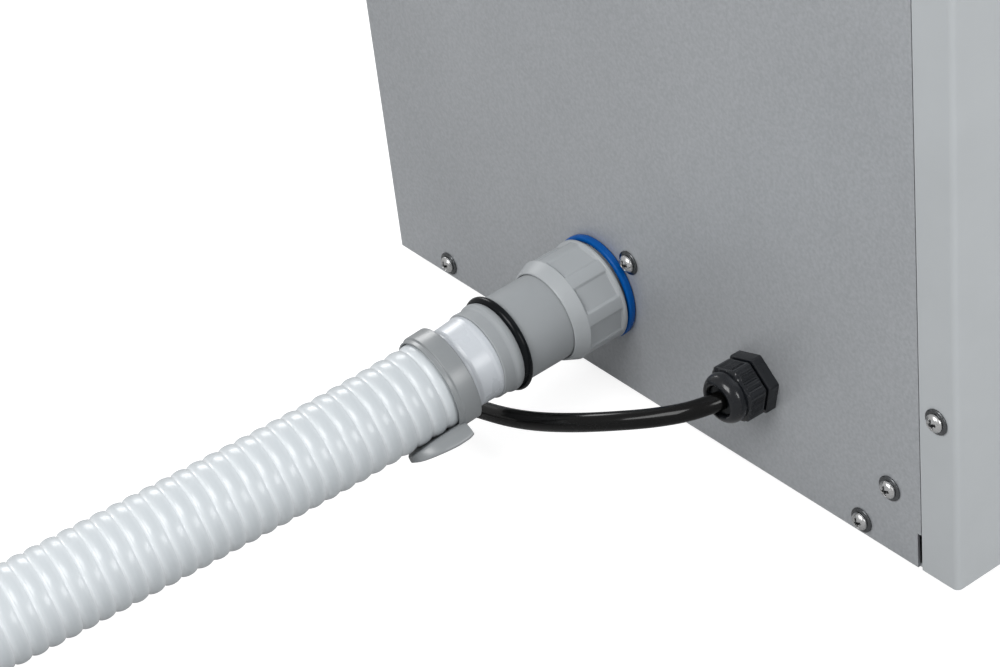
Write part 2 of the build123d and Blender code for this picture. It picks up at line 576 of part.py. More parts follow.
NUT_RIBS = 9
with BuildPart() as gland_nut:
    with BuildSketch(left_plane(5.8, GLAND_Y, GLAND_Z)):
        RegularPolygon(GLAND_AF / 2 - 0.7, 6, major_radius=False, rotation=GLAND_TURN)
    extrude(amount=9.0)
    with BuildSketch(Plane(origin=out(0, GLAND_Y, GLAND_Z), x_dir=(0, 1, 0), z_dir=(0, 0, 1))):
        with BuildLine():
            Polyline((0, 14.8), (10.8, 14.8), (10.8, 17.0))
            ThreePointArc((10.8, 17.0), (10.0, 20.0), (7.2, 21.4))
            Polyline((7.2, 21.4), (0, 21.4), (0, 14.8))
        make_face()
    revolve(axis=Axis(out(0, GLAND_Y, GLAND_Z), (-1, 0, 0)))
    with Locations(left_plane(5.8, GLAND_Y, GLAND_Z)):
        Cylinder(9.65, 10.4, align=(Align.CENTER, Align.CENTER, Align.MIN), mode=Mode.SUBTRACT)
        Cylinder(6.9, 40, mode=Mode.SUBTRACT)
    for side in range(6):
        with Locations(left_plane(10.3, GLAND_Y, GLAND_Z)):
            with PolarLocations(GLAND_AF / 2 - 0.7, 1, start_angle=GLAND_TURN + 30 + 60 * side):
                with GridLocations(1, 1.1, 1, NUT_RIBS):
                    Box(0.6, 0.5, 7.6)
save(gland_nut, "gland_nut")

with BuildPart() as gland_seal:
    with Locations(left_plane(8, GLAND_Y, GLAND_Z)):
        Cylinder(6.3, 11.5, align=(Align.CENTER, Align.CENTER, Align.MIN))
        Cylinder(CABLE_R, 40, mode=Mode.SUBTRACT)
save(gland_seal, "gland_seal")

with BuildPart() as gland_locknut:
    with BuildSketch(left_plane(-SHEET, GLAND_Y, GLAND_Z)):
        RegularPolygon(GLAND_AF / 2, 6, major_radius=False)
        Circle(9.95, mode=Mode.SUBTRACT)
    extrude(amount=-4.5)
save(gland_locknut, "gland_locknut")

# ---------------------------------------------------------------- power cable, its coil and plug
cable_route = [out(19.5, GLAND_Y, GLAND_Z), out(27, 111.2, 46.0), out(35, 116.6, 44.3), out(43, 126.4, 41.2),
               out(51.5, 139.5, 37.6), out(58.5, 156, 32), out(63.3, 175.5, 25), out(64.8, 196, 17.8),
               out(63.6, 217, 10.6), out(63, 238, 3.6), out(73.5, 258.5, -0.4), out(94, 270, -1.0),
               out(121, 270.5, -1.0), out(166, 267, -1.0), out(213, 266.6, -1.0), out(256, 267.8, -1.0),
               out(302, 272.6, -0.6), out(350, 276.4, 0.2)]
cable_radii = bend_radii(cable_route)
print("cable bend radii", [round(r) for r in cable_radii])
with BuildPart() as power_cable:
    with BuildLine() as cable_path:
        FilletPolyline(*cable_route, radius=cable_radii)
    with BuildSketch(Plane(origin=cable_path.line @ 0, z_dir=cable_path.line % 0)):
        Circle(CABLE_R)
    sweep()
print("cable length", round(cable_path.wires()[0].length),
      "volume ratio", power_cable.part.volume / (cable_path.wires()[0].length * pi * CABLE_R**2))
save(power_cable, "power_cable")

COIL_AT = out(352, 334.0, -FOOT_H)
COIL_OUT = 62.5
COIL_IN = 31.0
COIL_THICK = 17.6
with BuildPart() as power_cable_coil:
    with BuildSketch(Plane(origin=COIL_AT, z_dir=(0, 0, 1))):
        Circle(COIL_OUT)
        Circle(COIL_IN, mode=Mode.SUBTRACT)
    extrude(amount=COIL_THICK)
    fillet(power_cable_coil.edges().filter_by(GeomType.CIRCLE), 4.0)
save(power_cable_coil, "power_cable_coil")

with BuildPart() as cable_tie:
    tie_x = COIL_AT.X - (COIL_OUT + COIL_IN) / 2
    with BuildSketch(Plane(origin=(tie_x, COIL_AT.Y, COIL_THICK / 2 + 0.25), x_dir=(1, 0, 0), z_dir=(0, 1, 0))):
        RectangleRounded(COIL_OUT - COIL_IN + 3.0, COIL_THICK + 0.5, 4.5)
        RectangleRounded(COIL_OUT - COIL_IN + 1.2, COIL_THICK - 1.3, 3.6, mode=Mode.SUBTRACT)
    extrude(amount=5, both=True)
save(cable_tie, "cable_tie")

PLUG_R = 18.5
PLUG_PIN_R = 2.4
PLUG_FACE = 58.0
PLUG_AT = COIL_AT + Vector(30, 47, PLUG_R)
with BuildPart() as power_plug:
    with BuildSketch(Plane(origin=PLUG_AT, x_dir=(0, 1, 0), z_dir=(0, 0, -1))):
        with BuildLine():
            Polyline((0, 0), (CABLE_R + 0.9, 0), (6.4, 20), (8.5, 24), (13.0, 28))
            ThreePointArc((13.0, 28), (17.0, 31.5), (PLUG_R, 37))
            Polyline((PLUG_R, 37), (PLUG_R, PLUG_FACE - 1), (PLUG_R - 1, PLUG_FACE), (0, PLUG_FACE), (0, 0))
        make_face()
    revolve(axis=Axis(PLUG_AT, (1, 0, 0)))
    for side in (-1, 1):
        with Locations(Plane(origin=PLUG_AT + Vector(PLUG_FACE - 2, side * 9.5, 0), z_dir=(1, 0, 0))):
            Cylinder(PLUG_PIN_R, 21, align=(Align.CENTER, Align.CENTER, Align.MIN))
save(power_plug, "power_plug")

# ---------------------------------------------------------------- fan, its motor and shroud
FAN_AXIS = Plane(origin=(MID_X, FRONT + FAN_Y, FAN_Z), x_dir=(1, 0, 0), z_dir=(0, 1, 0))
SHAFT_R = 5.0
HUB_R = 36.0
BLADES = 5
SHROUD_R = 146.0
MOTOR_R = 48.0
with BuildPart() as fan_impeller:
    with Locations(FAN_AXIS):
        Cylinder(HUB_R, 32)
        with PolarLocations((HUB_R + FAN_R) / 2 - 1, BLADES):
            Box(FAN_R - HUB_R + 4, 74, 2.6, rotation=(28, 0, 0))
        Cylinder(FAN_R, 60, mode=Mode.INTERSECT)
        Cylinder(SHAFT_R, 60, mode=Mode.SUBTRACT)
save(fan_impeller, "fan_impeller")

with BuildPart() as fan_shaft:
    with Locations(FAN_AXIS.offset(18)):
        Cylinder(SHAFT_R, 80, align=(Align.CENTER, Align.CENTER, Align.MAX))
save(fan_shaft, "fan_shaft")

with BuildPart() as fan_motor:
    with Locations(FAN_AXIS.offset(-30)):
        Cylinder(MOTOR_R, 58, align=(Align.CENTER, Align.CENTER, Align.MAX))
    fillet(fan_motor.edges().filter_by(GeomType.CIRCLE), 6)
    with Locations(FAN_AXIS.offset(-26)):
        Cylinder(14, 6, align=(Align.CENTER, Align.CENTER, Align.MAX))
        Cylinder(SHAFT_R + 0.05, 45, align=(Align.CENTER, Align.CENTER, Align.MAX), mode=Mode.SUBTRACT)
save(fan_motor, "fan_motor")

PLATE_Y = FRONT + FAN_Y - 22.0
with BuildPart() as fan_shroud:
    block(LEFT + SHEET, RIGHT - SHEET, PLATE_Y, PLATE_Y + SHEET, COIL_Z0 - 4, TOP - 2 * SHEET)
    with Locations(Plane(origin=(MID_X, PLATE_Y, FAN_Z), x_dir=(1, 0, 0), z_dir=(0, 1, 0))):
        Cylinder(SHROUD_R + SHEET, 46, align=(Align.CENTER, Align.CENTER, Align.MIN))
        Cylinder(SHROUD_R, 200, mode=Mode.SUBTRACT)
save(fan_shroud, "fan_shroud")

with BuildPart() as motor_bracket:
    with Locations(FAN_AXIS.offset(-36)):
        Cylinder(MOTOR_R + 3, 8)
        with PolarLocations((MOTOR_R + SHROUD_R + 16) / 2, 3, start_angle=90):
            Box(SHROUD_R + 12 - MOTOR_R, 14, 4)
        with PolarLocations(SHROUD_R + 13, 3, start_angle=90):
            with Locations((0, 0, 5)):
                Box(10, 14, 18)
        Cylinder(MOTOR_R, 60, mode=Mode.SUBTRACT)
save(motor_bracket, "motor_bracket")

# ---------------------------------------------------------------- compressor and its pipes
COMPRESSOR_X, COMPRESSOR_Y = LEFT + 450.0, FRONT + 150.0
COMPRESSOR_R = 60.0
COMPRESSOR_Z0, COMPRESSOR_Z1 = 27.0, 213.0
ACCUMULATOR_X = LEFT + 540.0
ACCUMULATOR_R = 21.0
MOUNT_PCR = 84.0
with BuildPart() as compressor:
    with Locations((COMPRESSOR_X, COMPRESSOR_Y, COMPRESSOR_Z0)):
        Cylinder(COMPRESSOR_R, COMPRESSOR_Z1 - COMPRESSOR_Z0, align=(Align.CENTER, Align.CENTER, Align.MIN))
    fillet(compressor.edges().filter_by(GeomType.CIRCLE), 22)
    with Locations((ACCUMULATOR_X, COMPRESSOR_Y, 60)):
        Cylinder(ACCUMULATOR_R, 140, align=(Align.CENTER, Align.CENTER, Align.MIN))
    fillet(compressor.edges().filter_by(lambda edge: abs(edge.radius - ACCUMULATOR_R) < 0.01
                                        if edge.geom_type == GeomType.CIRCLE else False), 9)
    block(COMPRESSOR_X + 40, ACCUMULATOR_X, COMPRESSOR_Y - 8, COMPRESSOR_Y + 8, 120, 132)
    with BuildSketch(Plane(origin=(COMPRESSOR_X, COMPRESSOR_Y, COMPRESSOR_Z0 - 3), z_dir=(0, 0, 1))):
        with PolarLocations(MOUNT_PCR, 3, start_angle=90):
            Circle(14)
        make_hull()
    extrude(amount=3)
    with Locations(Plane(origin=(COMPRESSOR_X, COMPRESSOR_Y, COMPRESSOR_Z0), z_dir=(0, 0, 1))):
        with PolarLocations(MOUNT_PCR, 3, start_angle=90):
            Cylinder(5.2, 20, mode=Mode.SUBTRACT)
save(compressor, "compressor")

with BuildPart() as compressor_mounts:
    with Locations(Plane(origin=(COMPRESSOR_X, COMPRESSOR_Y, LOW + PAN_T), z_dir=(0, 0, 1))):
        with PolarLocations(MOUNT_PCR, 3, start_angle=90):
            Cylinder(13, COMPRESSOR_Z0 - 3 - LOW - PAN_T, align=(Align.CENTER, Align.CENTER, Align.MIN))
            Cylinder(5, 26, align=(Align.CENTER, Align.CENTER, Align.MIN))
save(compressor_mounts, "compressor_mounts")


def pipe(name, points, radius, bend):
    """A refrigerant pipe along straight runs joined by equal bends."""
    with BuildPart() as piece:
        with BuildLine() as path:
            FilletPolyline(*[(LEFT + x, FRONT + y, z) for x, y, z in points], radius=bend)
        with BuildSketch(Plane(origin=path.line @ 0, z_dir=path.line % 0)):
            Circle(radius)
        sweep()
    save(piece, name)


EVAPORATOR_MID = EVAPORATOR_Y - FRONT + EVAPORATOR_D / 2
CONDENSER_MID = CONDENSER_Y - FRONT + CONDENSER_D / 2
COIL_RIGHT = COIL_X0 - LEFT + COIL_W + 1.5
COIL_LEFT = COIL_X0 - LEFT - 1.5
pipe("suction_line", [(COIL_RIGHT, EVAPORATOR_MID, 340), (577, EVAPORATOR_MID, 340), (577, EVAPORATOR_MID, 224),
                      (577, 150, 224), (540, 150, 224), (540, 150, 200)], 5.5, 11)
pipe("discharge_line", [(450, CONDENSER_MID, COMPRESSOR_Z1), (450, CONDENSER_MID, 241),
                        (585, CONDENSER_MID, 241), (585, CONDENSER_MID, 590),
                        (COIL_RIGHT, CONDENSER_MID, 590)], 4, 12)
pipe("liquid_line", [(COIL_LEFT, CONDENSER_MID, 306), (42, CONDENSER_MID, 306), (42, 104, 306),
                     (42, 104, 332)], 3.2, 10)
pipe("capillary_tube", [(42, 104, 428), (42, 104, 475.6), (42, EVAPORATOR_MID, 475.6),
                        (COIL_LEFT, EVAPORATOR_MID, 475.6)], 1.6, 10)
with BuildPart() as filter_drier:
    with Locations((LEFT + 42, FRONT + 104, 332)):
        Cylinder(10.5, 96, align=(Align.CENTER, Align.CENTER, Align.MIN))
    fillet(filter_drier.edges().filter_by(GeomType.CIRCLE), 6)
save(filter_drier, "filter_drier")

# ---------------------------------------------------------------- electrics inside the cabinet
BOX_X0, BOX_X1 = LEFT + 34.0, LEFT + 190.0
BOX_Y0, BOX_Y1 = FRONT + 34.0, FRONT + 160.0
BOX_Z0, BOX_Z1 = LOW + PAN_T, 140.0
with BuildPart() as control_box:
    block(BOX_X0, BOX_X1, BOX_Y0, BOX_Y1, BOX_Z0, BOX_Z1)
    block(BOX_X0 + SHEET, BOX_X1 - SHEET, BOX_Y0 + SHEET, BOX_Y1 - SHEET, BOX_Z0 + SHEET, BOX_Z1 - SHEET,
          mode=Mode.SUBTRACT)
    with Locations(left_plane(-34, GLAND_Y, GLAND_Z)):
        Cylinder(CABLE_R + 0.2, 10, mode=Mode.SUBTRACT)
save(control_box, "control_box")

with BuildPart() as run_capacitor:
    with Locations((BOX_X1 - 40, BOX_Y0 + 45, BOX_Z0 + SHEET)):
        Cylinder(22, 85, align=(Align.CENTER, Align.CENTER, Align.MIN))
    fillet(run_capacitor.edges().filter_by(GeomType.CIRCLE), 2)
save(run_capacitor, "run_capacitor")

with BuildPart() as contactor:
    block(BOX_X0 + 30, BOX_X0 + 80, BOX_Y0 + 70, BOX_Y0 + 118, BOX_Z0 + SHEET, BOX_Z0 + 62)
    block(BOX_X0 + 36, BOX_X0 + 74, BOX_Y0 + 80, BOX_Y0 + 108, BOX_Z0 + 60, BOX_Z0 + 72)
save(contactor, "contactor")

with BuildPart() as inner_cable:
    with Locations(left_plane(19.5, GLAND_Y, GLAND_Z)):
        Cylinder(CABLE_R, 62, align=(Align.CENTER, Align.CENTER, Align.MAX))
save(inner_cable, "inner_cable")

ANGLE_W = 28.0
with BuildPart() as tray_brackets:
    for wall, inward, y0, y1 in ((LEFT, 1, FRONT + 65, FRONT + 150), (RIGHT, -1, FRONT + 160, FRONT + 230)):
        inner = wall + inward * SHEET
        ledge = sorted((inner, TRAY_X0 + ANGLE_W if inward > 0 else TRAY_X1 - ANGLE_W))
        web = sorted((inner, inner + inward * 1.5))
        block(*ledge, y0, y1, TRAY_Z0 - 1.5, TRAY_Z0)
        block(*web, y0, y1, TRAY_Z0 - 20, TRAY_Z0)
save(tray_brackets, "tray_brackets")

# ---------------------------------------------------------------- control panel
KNOB_X = CONTROL_X - 60.0
ROCKER_X = CONTROL_X + 62.0
ROCKER_GAP_X = 7.5       # half sizes of the hole that the rocker tilts in
ROCKER_GAP_Z = 12.0
LAMP_X = [CONTROL_X - 4.0, CONTROL_X + 18.0]
KNOB_SHAFT_R = 3.0
with BuildPart() as control_panel:
    with BuildSketch(Plane(origin=(CONTROL_X, FRONT, CONTROL_Z), x_dir=(1, 0, 0), z_dir=(0, -1, 0))):
        RectangleRounded(CONTROL_W + 12, CONTROL_H + 10, 5)
    extrude(amount=2.0)
    fillet(control_panel.faces().sort_by(Axis.Y)[0].edges(), 1.0)
    block(CONTROL_X - CONTROL_W / 2 + 0.5, CONTROL_X + CONTROL_W / 2 - 0.5, FRONT, FRONT + 8,
          CONTROL_Z - CONTROL_H / 2 + 0.5, CONTROL_Z + CONTROL_H / 2 - 0.5)
    block(CONTROL_X - CONTROL_W / 2 + 3, CONTROL_X + CONTROL_W / 2 - 3, FRONT + 0.8, FRONT + 9,
          CONTROL_Z - CONTROL_H / 2 + 3, CONTROL_Z + CONTROL_H / 2 - 3, mode=Mode.SUBTRACT)
    with Locations(Plane(origin=(KNOB_X, FRONT, CONTROL_Z), z_dir=(0, 1, 0))):
        Cylinder(KNOB_SHAFT_R + 0.06, 10, mode=Mode.SUBTRACT)
    for x in LAMP_X:
        with Locations(Plane(origin=(x, FRONT, CONTROL_Z), z_dir=(0, 1, 0))):
            Cylinder(3.0, 10, mode=Mode.SUBTRACT)
    block(ROCKER_X - ROCKER_GAP_X, ROCKER_X + ROCKER_GAP_X, FRONT - 5, FRONT + 5,
          CONTROL_Z - ROCKER_GAP_Z, CONTROL_Z + ROCKER_GAP_Z, mode=Mode.SUBTRACT)
save(control_panel, "control_panel")

KNOB_R = 18.0
KNOB_GRIPS = 18
KNOB_FACE = Plane(origin=(KNOB_X, FRONT - 2.4, CONTROL_Z), x_dir=(1, 0, 0), z_dir=(0, -1, 0))
with BuildPart() as humidistat_knob:
    with Locations(KNOB_FACE):
        Cylinder(KNOB_R, 3.0, align=(Align.CENTER, Align.CENTER, Align.MIN))
        Cone(KNOB_R - 3, KNOB_R - 4.5, KNOB_REACH - 2.4, align=(Align.CENTER, Align.CENTER, Align.MIN))
        Cylinder(KNOB_SHAFT_R, 16, align=(Align.CENTER, Align.CENTER, Align.MAX))
        with PolarLocations(KNOB_R - 3.2, KNOB_GRIPS):
            with Locations((0, 0, 8)):
                Cylinder(1.0, 12, mode=Mode.SUBTRACT)
    with Locations(KNOB_FACE.offset(KNOB_REACH - 2.4)):
        with Locations((0, 8, 0)):
            Box(1.6, 9, 1.4, mode=Mode.SUBTRACT)
save(humidistat_knob, "humidistat_knob")

with BuildPart() as humidistat:
    block(KNOB_X - 20, KNOB_X + 20, FRONT + 0.8, FRONT + 17, CONTROL_Z - 18, CONTROL_Z + 18)
    with Locations(Plane(origin=(KNOB_X, FRONT, CONTROL_Z), z_dir=(0, 1, 0))):
        Cylinder(KNOB_SHAFT_R + 0.06, 32, mode=Mode.SUBTRACT)
save(humidistat, "humidistat")

ROCKER_TILT = 7.0
ROCKER_SIDE = [(4, -9.5), (-5.6, -10.2), (-3.6, 0), (-5.6, 10.2), (4, 9.5)]
with BuildPart() as power_rocker:
    with BuildSketch(Plane(origin=(ROCKER_X - 6.5, FRONT + 1, CONTROL_Z), x_dir=(0, 1, 0), z_dir=(1, 0, 0))):
        with BuildLine():
            Polyline(*[Vector(*corner).rotate(Axis.Z, ROCKER_TILT) for corner in ROCKER_SIDE], close=True)
        make_face()
    extrude(amount=13)
save(power_rocker, "power_rocker")

with BuildPart() as power_switch_body:
    block(ROCKER_X - 9, ROCKER_X + 9, FRONT + 0.8, FRONT + 22, CONTROL_Z - 14, CONTROL_Z + 14)
    block(ROCKER_X - ROCKER_GAP_X, ROCKER_X + ROCKER_GAP_X, FRONT - 1, FRONT + 10,
          CONTROL_Z - ROCKER_GAP_Z, CONTROL_Z + ROCKER_GAP_Z, mode=Mode.SUBTRACT)
save(power_switch_body, "power_switch_body")

with BuildPart() as indicator_lamps:
    for x in LAMP_X:
        with Locations(Plane(origin=(x, FRONT - 2, CONTROL_Z), z_dir=(0, -1, 0))):
            Cylinder(3.0, 8, align=(Align.CENTER, Align.CENTER, Align.MAX))
            Cylinder(4.2, 1.0, align=(Align.CENTER, Align.CENTER, Align.MIN))
            Cone(3.2, 2.0, 2.6, align=(Align.CENTER, Align.CENTER, Align.MIN))
save(indicator_lamps, "indicator_lamps")

print("left", LEFT, "front", FRONT, "outlet", SPIGOT.origin, SPIGOT.z_dir, "gland", out(0, GLAND_Y, GLAND_Z))
print("cuff", CUFF.origin, CUFF.z_dir, "coil", COIL_AT, "plug", PLUG_AT)
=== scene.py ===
from math import cos, pi, radians, sin, tan, tau

import bmesh
import bpy
from mathutils import Matrix, Vector


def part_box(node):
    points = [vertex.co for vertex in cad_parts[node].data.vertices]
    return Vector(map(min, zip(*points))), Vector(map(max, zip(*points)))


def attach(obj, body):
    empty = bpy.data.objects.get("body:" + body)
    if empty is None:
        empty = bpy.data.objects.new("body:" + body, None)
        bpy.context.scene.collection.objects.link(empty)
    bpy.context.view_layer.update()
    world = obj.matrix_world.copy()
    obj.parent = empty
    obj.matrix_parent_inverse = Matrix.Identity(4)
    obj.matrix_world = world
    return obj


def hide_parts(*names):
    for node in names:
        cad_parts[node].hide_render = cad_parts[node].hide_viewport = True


# Sheet-metal dehumidifier with its condensate outlet and its power cable low on the left side.
# Sizes are in millimetres, as in the part's source; the frame and the scene are in metres.

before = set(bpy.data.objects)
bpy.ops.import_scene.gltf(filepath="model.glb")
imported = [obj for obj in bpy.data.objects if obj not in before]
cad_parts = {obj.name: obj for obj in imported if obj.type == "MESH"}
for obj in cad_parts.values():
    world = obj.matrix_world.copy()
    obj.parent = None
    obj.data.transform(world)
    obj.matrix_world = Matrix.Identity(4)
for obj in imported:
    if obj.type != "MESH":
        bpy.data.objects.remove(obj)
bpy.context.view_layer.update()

MM = 0.001
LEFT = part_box("left_side_panel")[0].x
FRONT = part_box("front_cover")[0].y
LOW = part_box("left_side_panel")[0].z
OUTWARD = Vector((-1, 0, 0))         # straight out of the left side
SIDEWAYS = Vector((0, 1, 0))
UP = Vector((0, 0, 1))


def out(away, y, z):
    """A point by its distances out from the left side, back from the front and up from the lower edge."""
    return Vector((LEFT - away * MM, FRONT + y * MM, LOW + z * MM))


def placed(origin, x_dir, z_dir):
    """The frame of a piece whose axis is z_dir."""
    turn = Matrix((x_dir, z_dir.cross(x_dir), z_dir)).transposed()
    return Matrix.Translation(origin) @ turn.to_4x4()


# ---------------------------------------------------------------- materials
FINISHES = {}               # every finished material, by its name
POLISH = 0.05               # how far the roughness of a moulded surface strays to either side
COAT = [("Coat Weight", 0.5), ("Coat Roughness", 0.14)]
THIN_COAT = [("Coat Weight", 0.30), ("Coat Roughness", 0.08), ("Specular IOR Level", 0.25)]
JACKET = [("Coat Weight", 0.30), ("Coat Roughness", 0.10), ("Specular IOR Level", 0.06)]
DULL = [("Specular IOR Level", 0.12)]


class Finish:
    """One material: textures in the object's own metres that drive a single shader."""

    def __init__(self, name, metallic=0.0, sockets=()):
        self.name = name
        self.material = bpy.data.materials.new(name)
        self.material.use_nodes = True
        self.nodes = self.material.node_tree.nodes
        self.links = self.material.node_tree.links
        self.shader = self.nodes["Principled BSDF"]
        self.shader.inputs["Metallic"].default_value = metallic
        for socket, value in sockets:
            self.shader.inputs[socket].default_value = value
        self.place = self.nodes.new("ShaderNodeTexCoord").outputs["Object"]

    def stretched(self, x, y, z):
        """The object's coordinates, scaled differently along each axis."""
        mapping = self.nodes.new("ShaderNodeMapping")
        mapping.inputs["Scale"].default_value = (x, y, z)
        self.links.new(self.place, mapping.inputs["Vector"])
        return mapping.outputs["Vector"]

    def noise(self, scale, detail=4.0, place=None):
        """Soft noise from 0 to 1."""
        texture = self.nodes.new("ShaderNodeTexNoise")
        texture.inputs["Scale"].default_value = scale
        texture.inputs["Detail"].default_value = detail
        self.links.new(place or self.place, texture.inputs["Vector"])
        return texture.outputs["Fac"]

    def cells(self, scale):
        """A random tone for each small cell."""
        texture = self.nodes.new("ShaderNodeTexVoronoi")
        texture.inputs["Scale"].default_value = scale
        self.links.new(self.place, texture.inputs["Vector"])
        return texture.outputs["Color"]

    def stripes(self, scale, direction):
        """Even bands that follow each other along an axis."""
        texture = self.nodes.new("ShaderNodeTexWave")
        texture.bands_direction = direction
        texture.inputs["Scale"].default_value = scale
        self.links.new(self.place, texture.inputs["Vector"])
        return texture.outputs["Fac"]

    def attribute(self, name):
        """A value that the mesh holds for each of its points."""
        reader = self.nodes.new("ShaderNodeAttribute")
        reader.attribute_name = name
        return reader.outputs["Fac"]

    def spread(self, factor, low, high, start=0.3, end=0.7):
        """The factor stretched from start..end to low..high."""
        node = self.nodes.new("ShaderNodeMapRange")
        for socket, value in (("From Min", start), ("From Max", end), ("To Min", low), ("To Max", high)):
            node.inputs[socket].default_value = value
        self.links.new(factor, node.inputs["Value"])
        return node.outputs["Result"]

    def blend(self, factor, dark, light, start=0.3, end=0.7):
        """The factor turned into a colour between two."""
        ramp = self.nodes.new("ShaderNodeValToRGB")
        for element, position, colour in zip(ramp.color_ramp.elements, (start, end), (dark, light)):
            element.position = position
            element.color = (*colour, 1)
        self.links.new(factor, ramp.inputs["Fac"])
        return ramp.outputs["Color"]

    def surface(self, colour, roughness, height=None, depth=0.05, strength=0.3):
        """Connects the shader and files the material; depth is the bump's height in millimetres."""
        self.links.new(colour, self.shader.inputs["Base Color"])
        self.links.new(roughness, self.shader.inputs["Roughness"])
        if height is not None:
            bump = self.nodes.new("ShaderNodeBump")
            bump.inputs["Strength"].default_value = strength
            bump.inputs["Distance"].default_value = depth * MM
            self.links.new(height, bump.inputs["Height"])
            self.links.new(bump.outputs["Normal"], self.shader.inputs["Normal"])
        FINISHES[self.name] = self.material


def shades(colour, amount):
    """A darker and a lighter version of a colour."""
    return [tuple(min(1.0, part * factor) for part in colour) for factor in (1 - amount, 1 + amount)]


def grained(name, colour, roughness, metallic=0.0, grain=500.0, tint=0.06, depth=0.04, sockets=()):
    """A moulded, painted or cast surface: slow changes of tone and gloss over a fine grain."""
    made = Finish(name, metallic, sockets)
    slow = made.noise(grain / 25, 3.0)
    fine = made.noise(grain * 2, 2.0)
    colours = made.blend(slow, *shades(colour, tint))
    gloss = made.spread(made.noise(grain / 6, 4.0), roughness - POLISH, roughness + POLISH)
    made.surface(colours, gloss, fine, depth)


def galvanised_steel():
    """Zinc-coated sheet: a fine speckle of crystals, with soft clouds of tone."""
    made = Finish("galvanised_steel", 0.55, [("Specular IOR Level", 0.4)])
    clouds = made.noise(9.0, 5.0)
    speckle = made.noise(700.0, 2.0)
    both = made.nodes.new("ShaderNodeMath")
    both.operation = "ADD"
    made.links.new(made.spread(clouds, 0.0, 0.35), both.inputs[0])
    made.links.new(made.spread(speckle, 0.0, 0.65), both.inputs[1])
    colours = made.blend(both.outputs["Value"], (0.375, 0.390, 0.408), (0.455, 0.472, 0.492), 0.1, 0.9)
    gloss = made.spread(made.cells(650.0), 0.42, 0.52, 0.0, 1.0)
    made.surface(colours, gloss, speckle, 0.02)


def hose_plastic():
    """Milky corrugated hose, with painted light: the valleys are painted whiter and the crests darker and
    bluish, for light seen through the milky wall.
    """
    made = Finish("hose_plastic", 0.0, [("Coat Weight", 0.22), ("Coat Roughness", 0.12), ("IOR", 1.40)])
    # painted light: whiter valleys and darker crests stand in for light through the thin wall
    colours = made.blend(made.attribute("crest"), (0.56, 0.59, 0.61), (0.43, 0.46, 0.48), 0.30, 0.95)
    gloss = made.spread(made.noise(90.0, 3.0), 0.30, 0.44)
    made.surface(colours, gloss, made.noise(260.0, 3.0), 0.25, 0.35)


def finned_aluminium():
    """Thin upright fins, with painted shade between them and painted highlights on their edges."""
    made = Finish("aluminium_fins", 0.9)
    fins = made.stripes(140.0, "X")
    # painted shade between the fins and painted highlights on their edges
    colours = made.blend(fins, (0.10, 0.11, 0.12), (0.70, 0.72, 0.74), 0.2, 0.8)
    made.surface(colours, made.spread(made.noise(300.0), 0.25, 0.4), fins, 0.4, 0.8)


def filter_fibre():
    """A mat of fine grey threads that mostly stand upright."""
    made = Finish("filter_fibre", 0.0, [("Sheen Weight", 0.4)])
    threads = made.noise(900.0, 3.0, made.stretched(1.0, 1.0, 0.15))
    colours = made.blend(threads, (0.30, 0.31, 0.32), (0.62, 0.63, 0.63))
    made.surface(colours, made.spread(threads, 0.8, 0.95), threads, 0.3, 0.8)


def brushed_steel(name, colour, roughness):
    """Bare steel with fine lines along X."""
    made = Finish(name, 1.0)
    lines = made.noise(350.0, 3.0, made.stretched(0.2, 1.0, 4.0))
    colours = made.blend(lines, *shades(colour, 0.05))
    made.surface(colours, made.spread(lines, roughness - 0.03, roughness + 0.06), lines, 0.002, 0.1)


def screw_steel():
    """Bright heads, with painted shade that darkens their flanges and their cross recesses."""
    made = Finish("screw_steel", 1.0)
    # painted shade: the flanges and the recesses take the dark colour
    colours = made.blend(made.attribute("painted_shade"), (0.62, 0.62, 0.62), (0.13, 0.135, 0.14), 0.2, 1.0)
    made.surface(colours, made.spread(made.noise(600.0), 0.20, 0.30), made.noise(900.0), 0.002, 0.1)


def all_finishes():
    """Every finish: those of the material slots, and those that single pieces take instead."""
    galvanised_steel()
    grained("grey_paint", (0.385, 0.405, 0.418), 0.42, grain=900.0, tint=0.02, depth=0.02)
    brushed_steel("bright_steel", (0.56, 0.56, 0.56), 0.2)
    screw_steel()
    grained("black_rubber", (0.004, 0.005, 0.006), 0.24, grain=400.0, tint=0.15, sockets=DULL)
    grained("black_plastic", (0.006, 0.007, 0.009), 0.26, grain=600.0, tint=0.12, sockets=THIN_COAT)
    grained("dark_grey_plastic", (0.055, 0.058, 0.062), 0.42, grain=700.0, tint=0.08)
    grained("grey_plastic", (0.325, 0.343, 0.355), 0.38, grain=500.0, tint=0.03, depth=0.03)
    grained("tail_plastic", (0.275, 0.290, 0.300), 0.45, grain=500.0, tint=0.03, sockets=DULL)
    grained("clip_plastic", (0.195, 0.207, 0.214), 0.34, grain=500.0, tint=0.03, depth=0.03)
    grained("white_plastic", (0.46, 0.485, 0.515), 0.30, grain=400.0, tint=0.02)
    grained("blue_seal", (0.0, 0.070, 0.290), 0.24, grain=300.0, tint=0.12, sockets=DULL)
    hose_plastic()
    filter_fibre()
    finned_aluminium()
    grained("copper", (0.72, 0.36, 0.22), 0.27, metallic=1.0, grain=300.0, tint=0.12)
    grained("black_enamel", (0.012, 0.012, 0.013), 0.3, grain=250.0, tint=0.15, sockets=COAT)
    grained("cable_jacket", (0.003, 0.003, 0.003), 0.26, grain=500.0, tint=0.15, sockets=JACKET)
    grained("lamp_lens", (0.10, 0.45, 0.12), 0.15, grain=300.0, tint=0.1, sockets=COAT)


def finish_nodes():
    """Gives each part that keeps its own shape the finish of its material's name."""
    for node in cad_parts.values():
        for material_slot in node.material_slots:
            material_slot.material = FINISHES[material_slot.material.name.split(".")[0]]


# ---------------------------------------------------------------- mesh helpers
NEARLY_STRAIGHT = radians(172)
EDGE_SHARE = 0.45           # the most of an edge that the curve at either of its ends takes


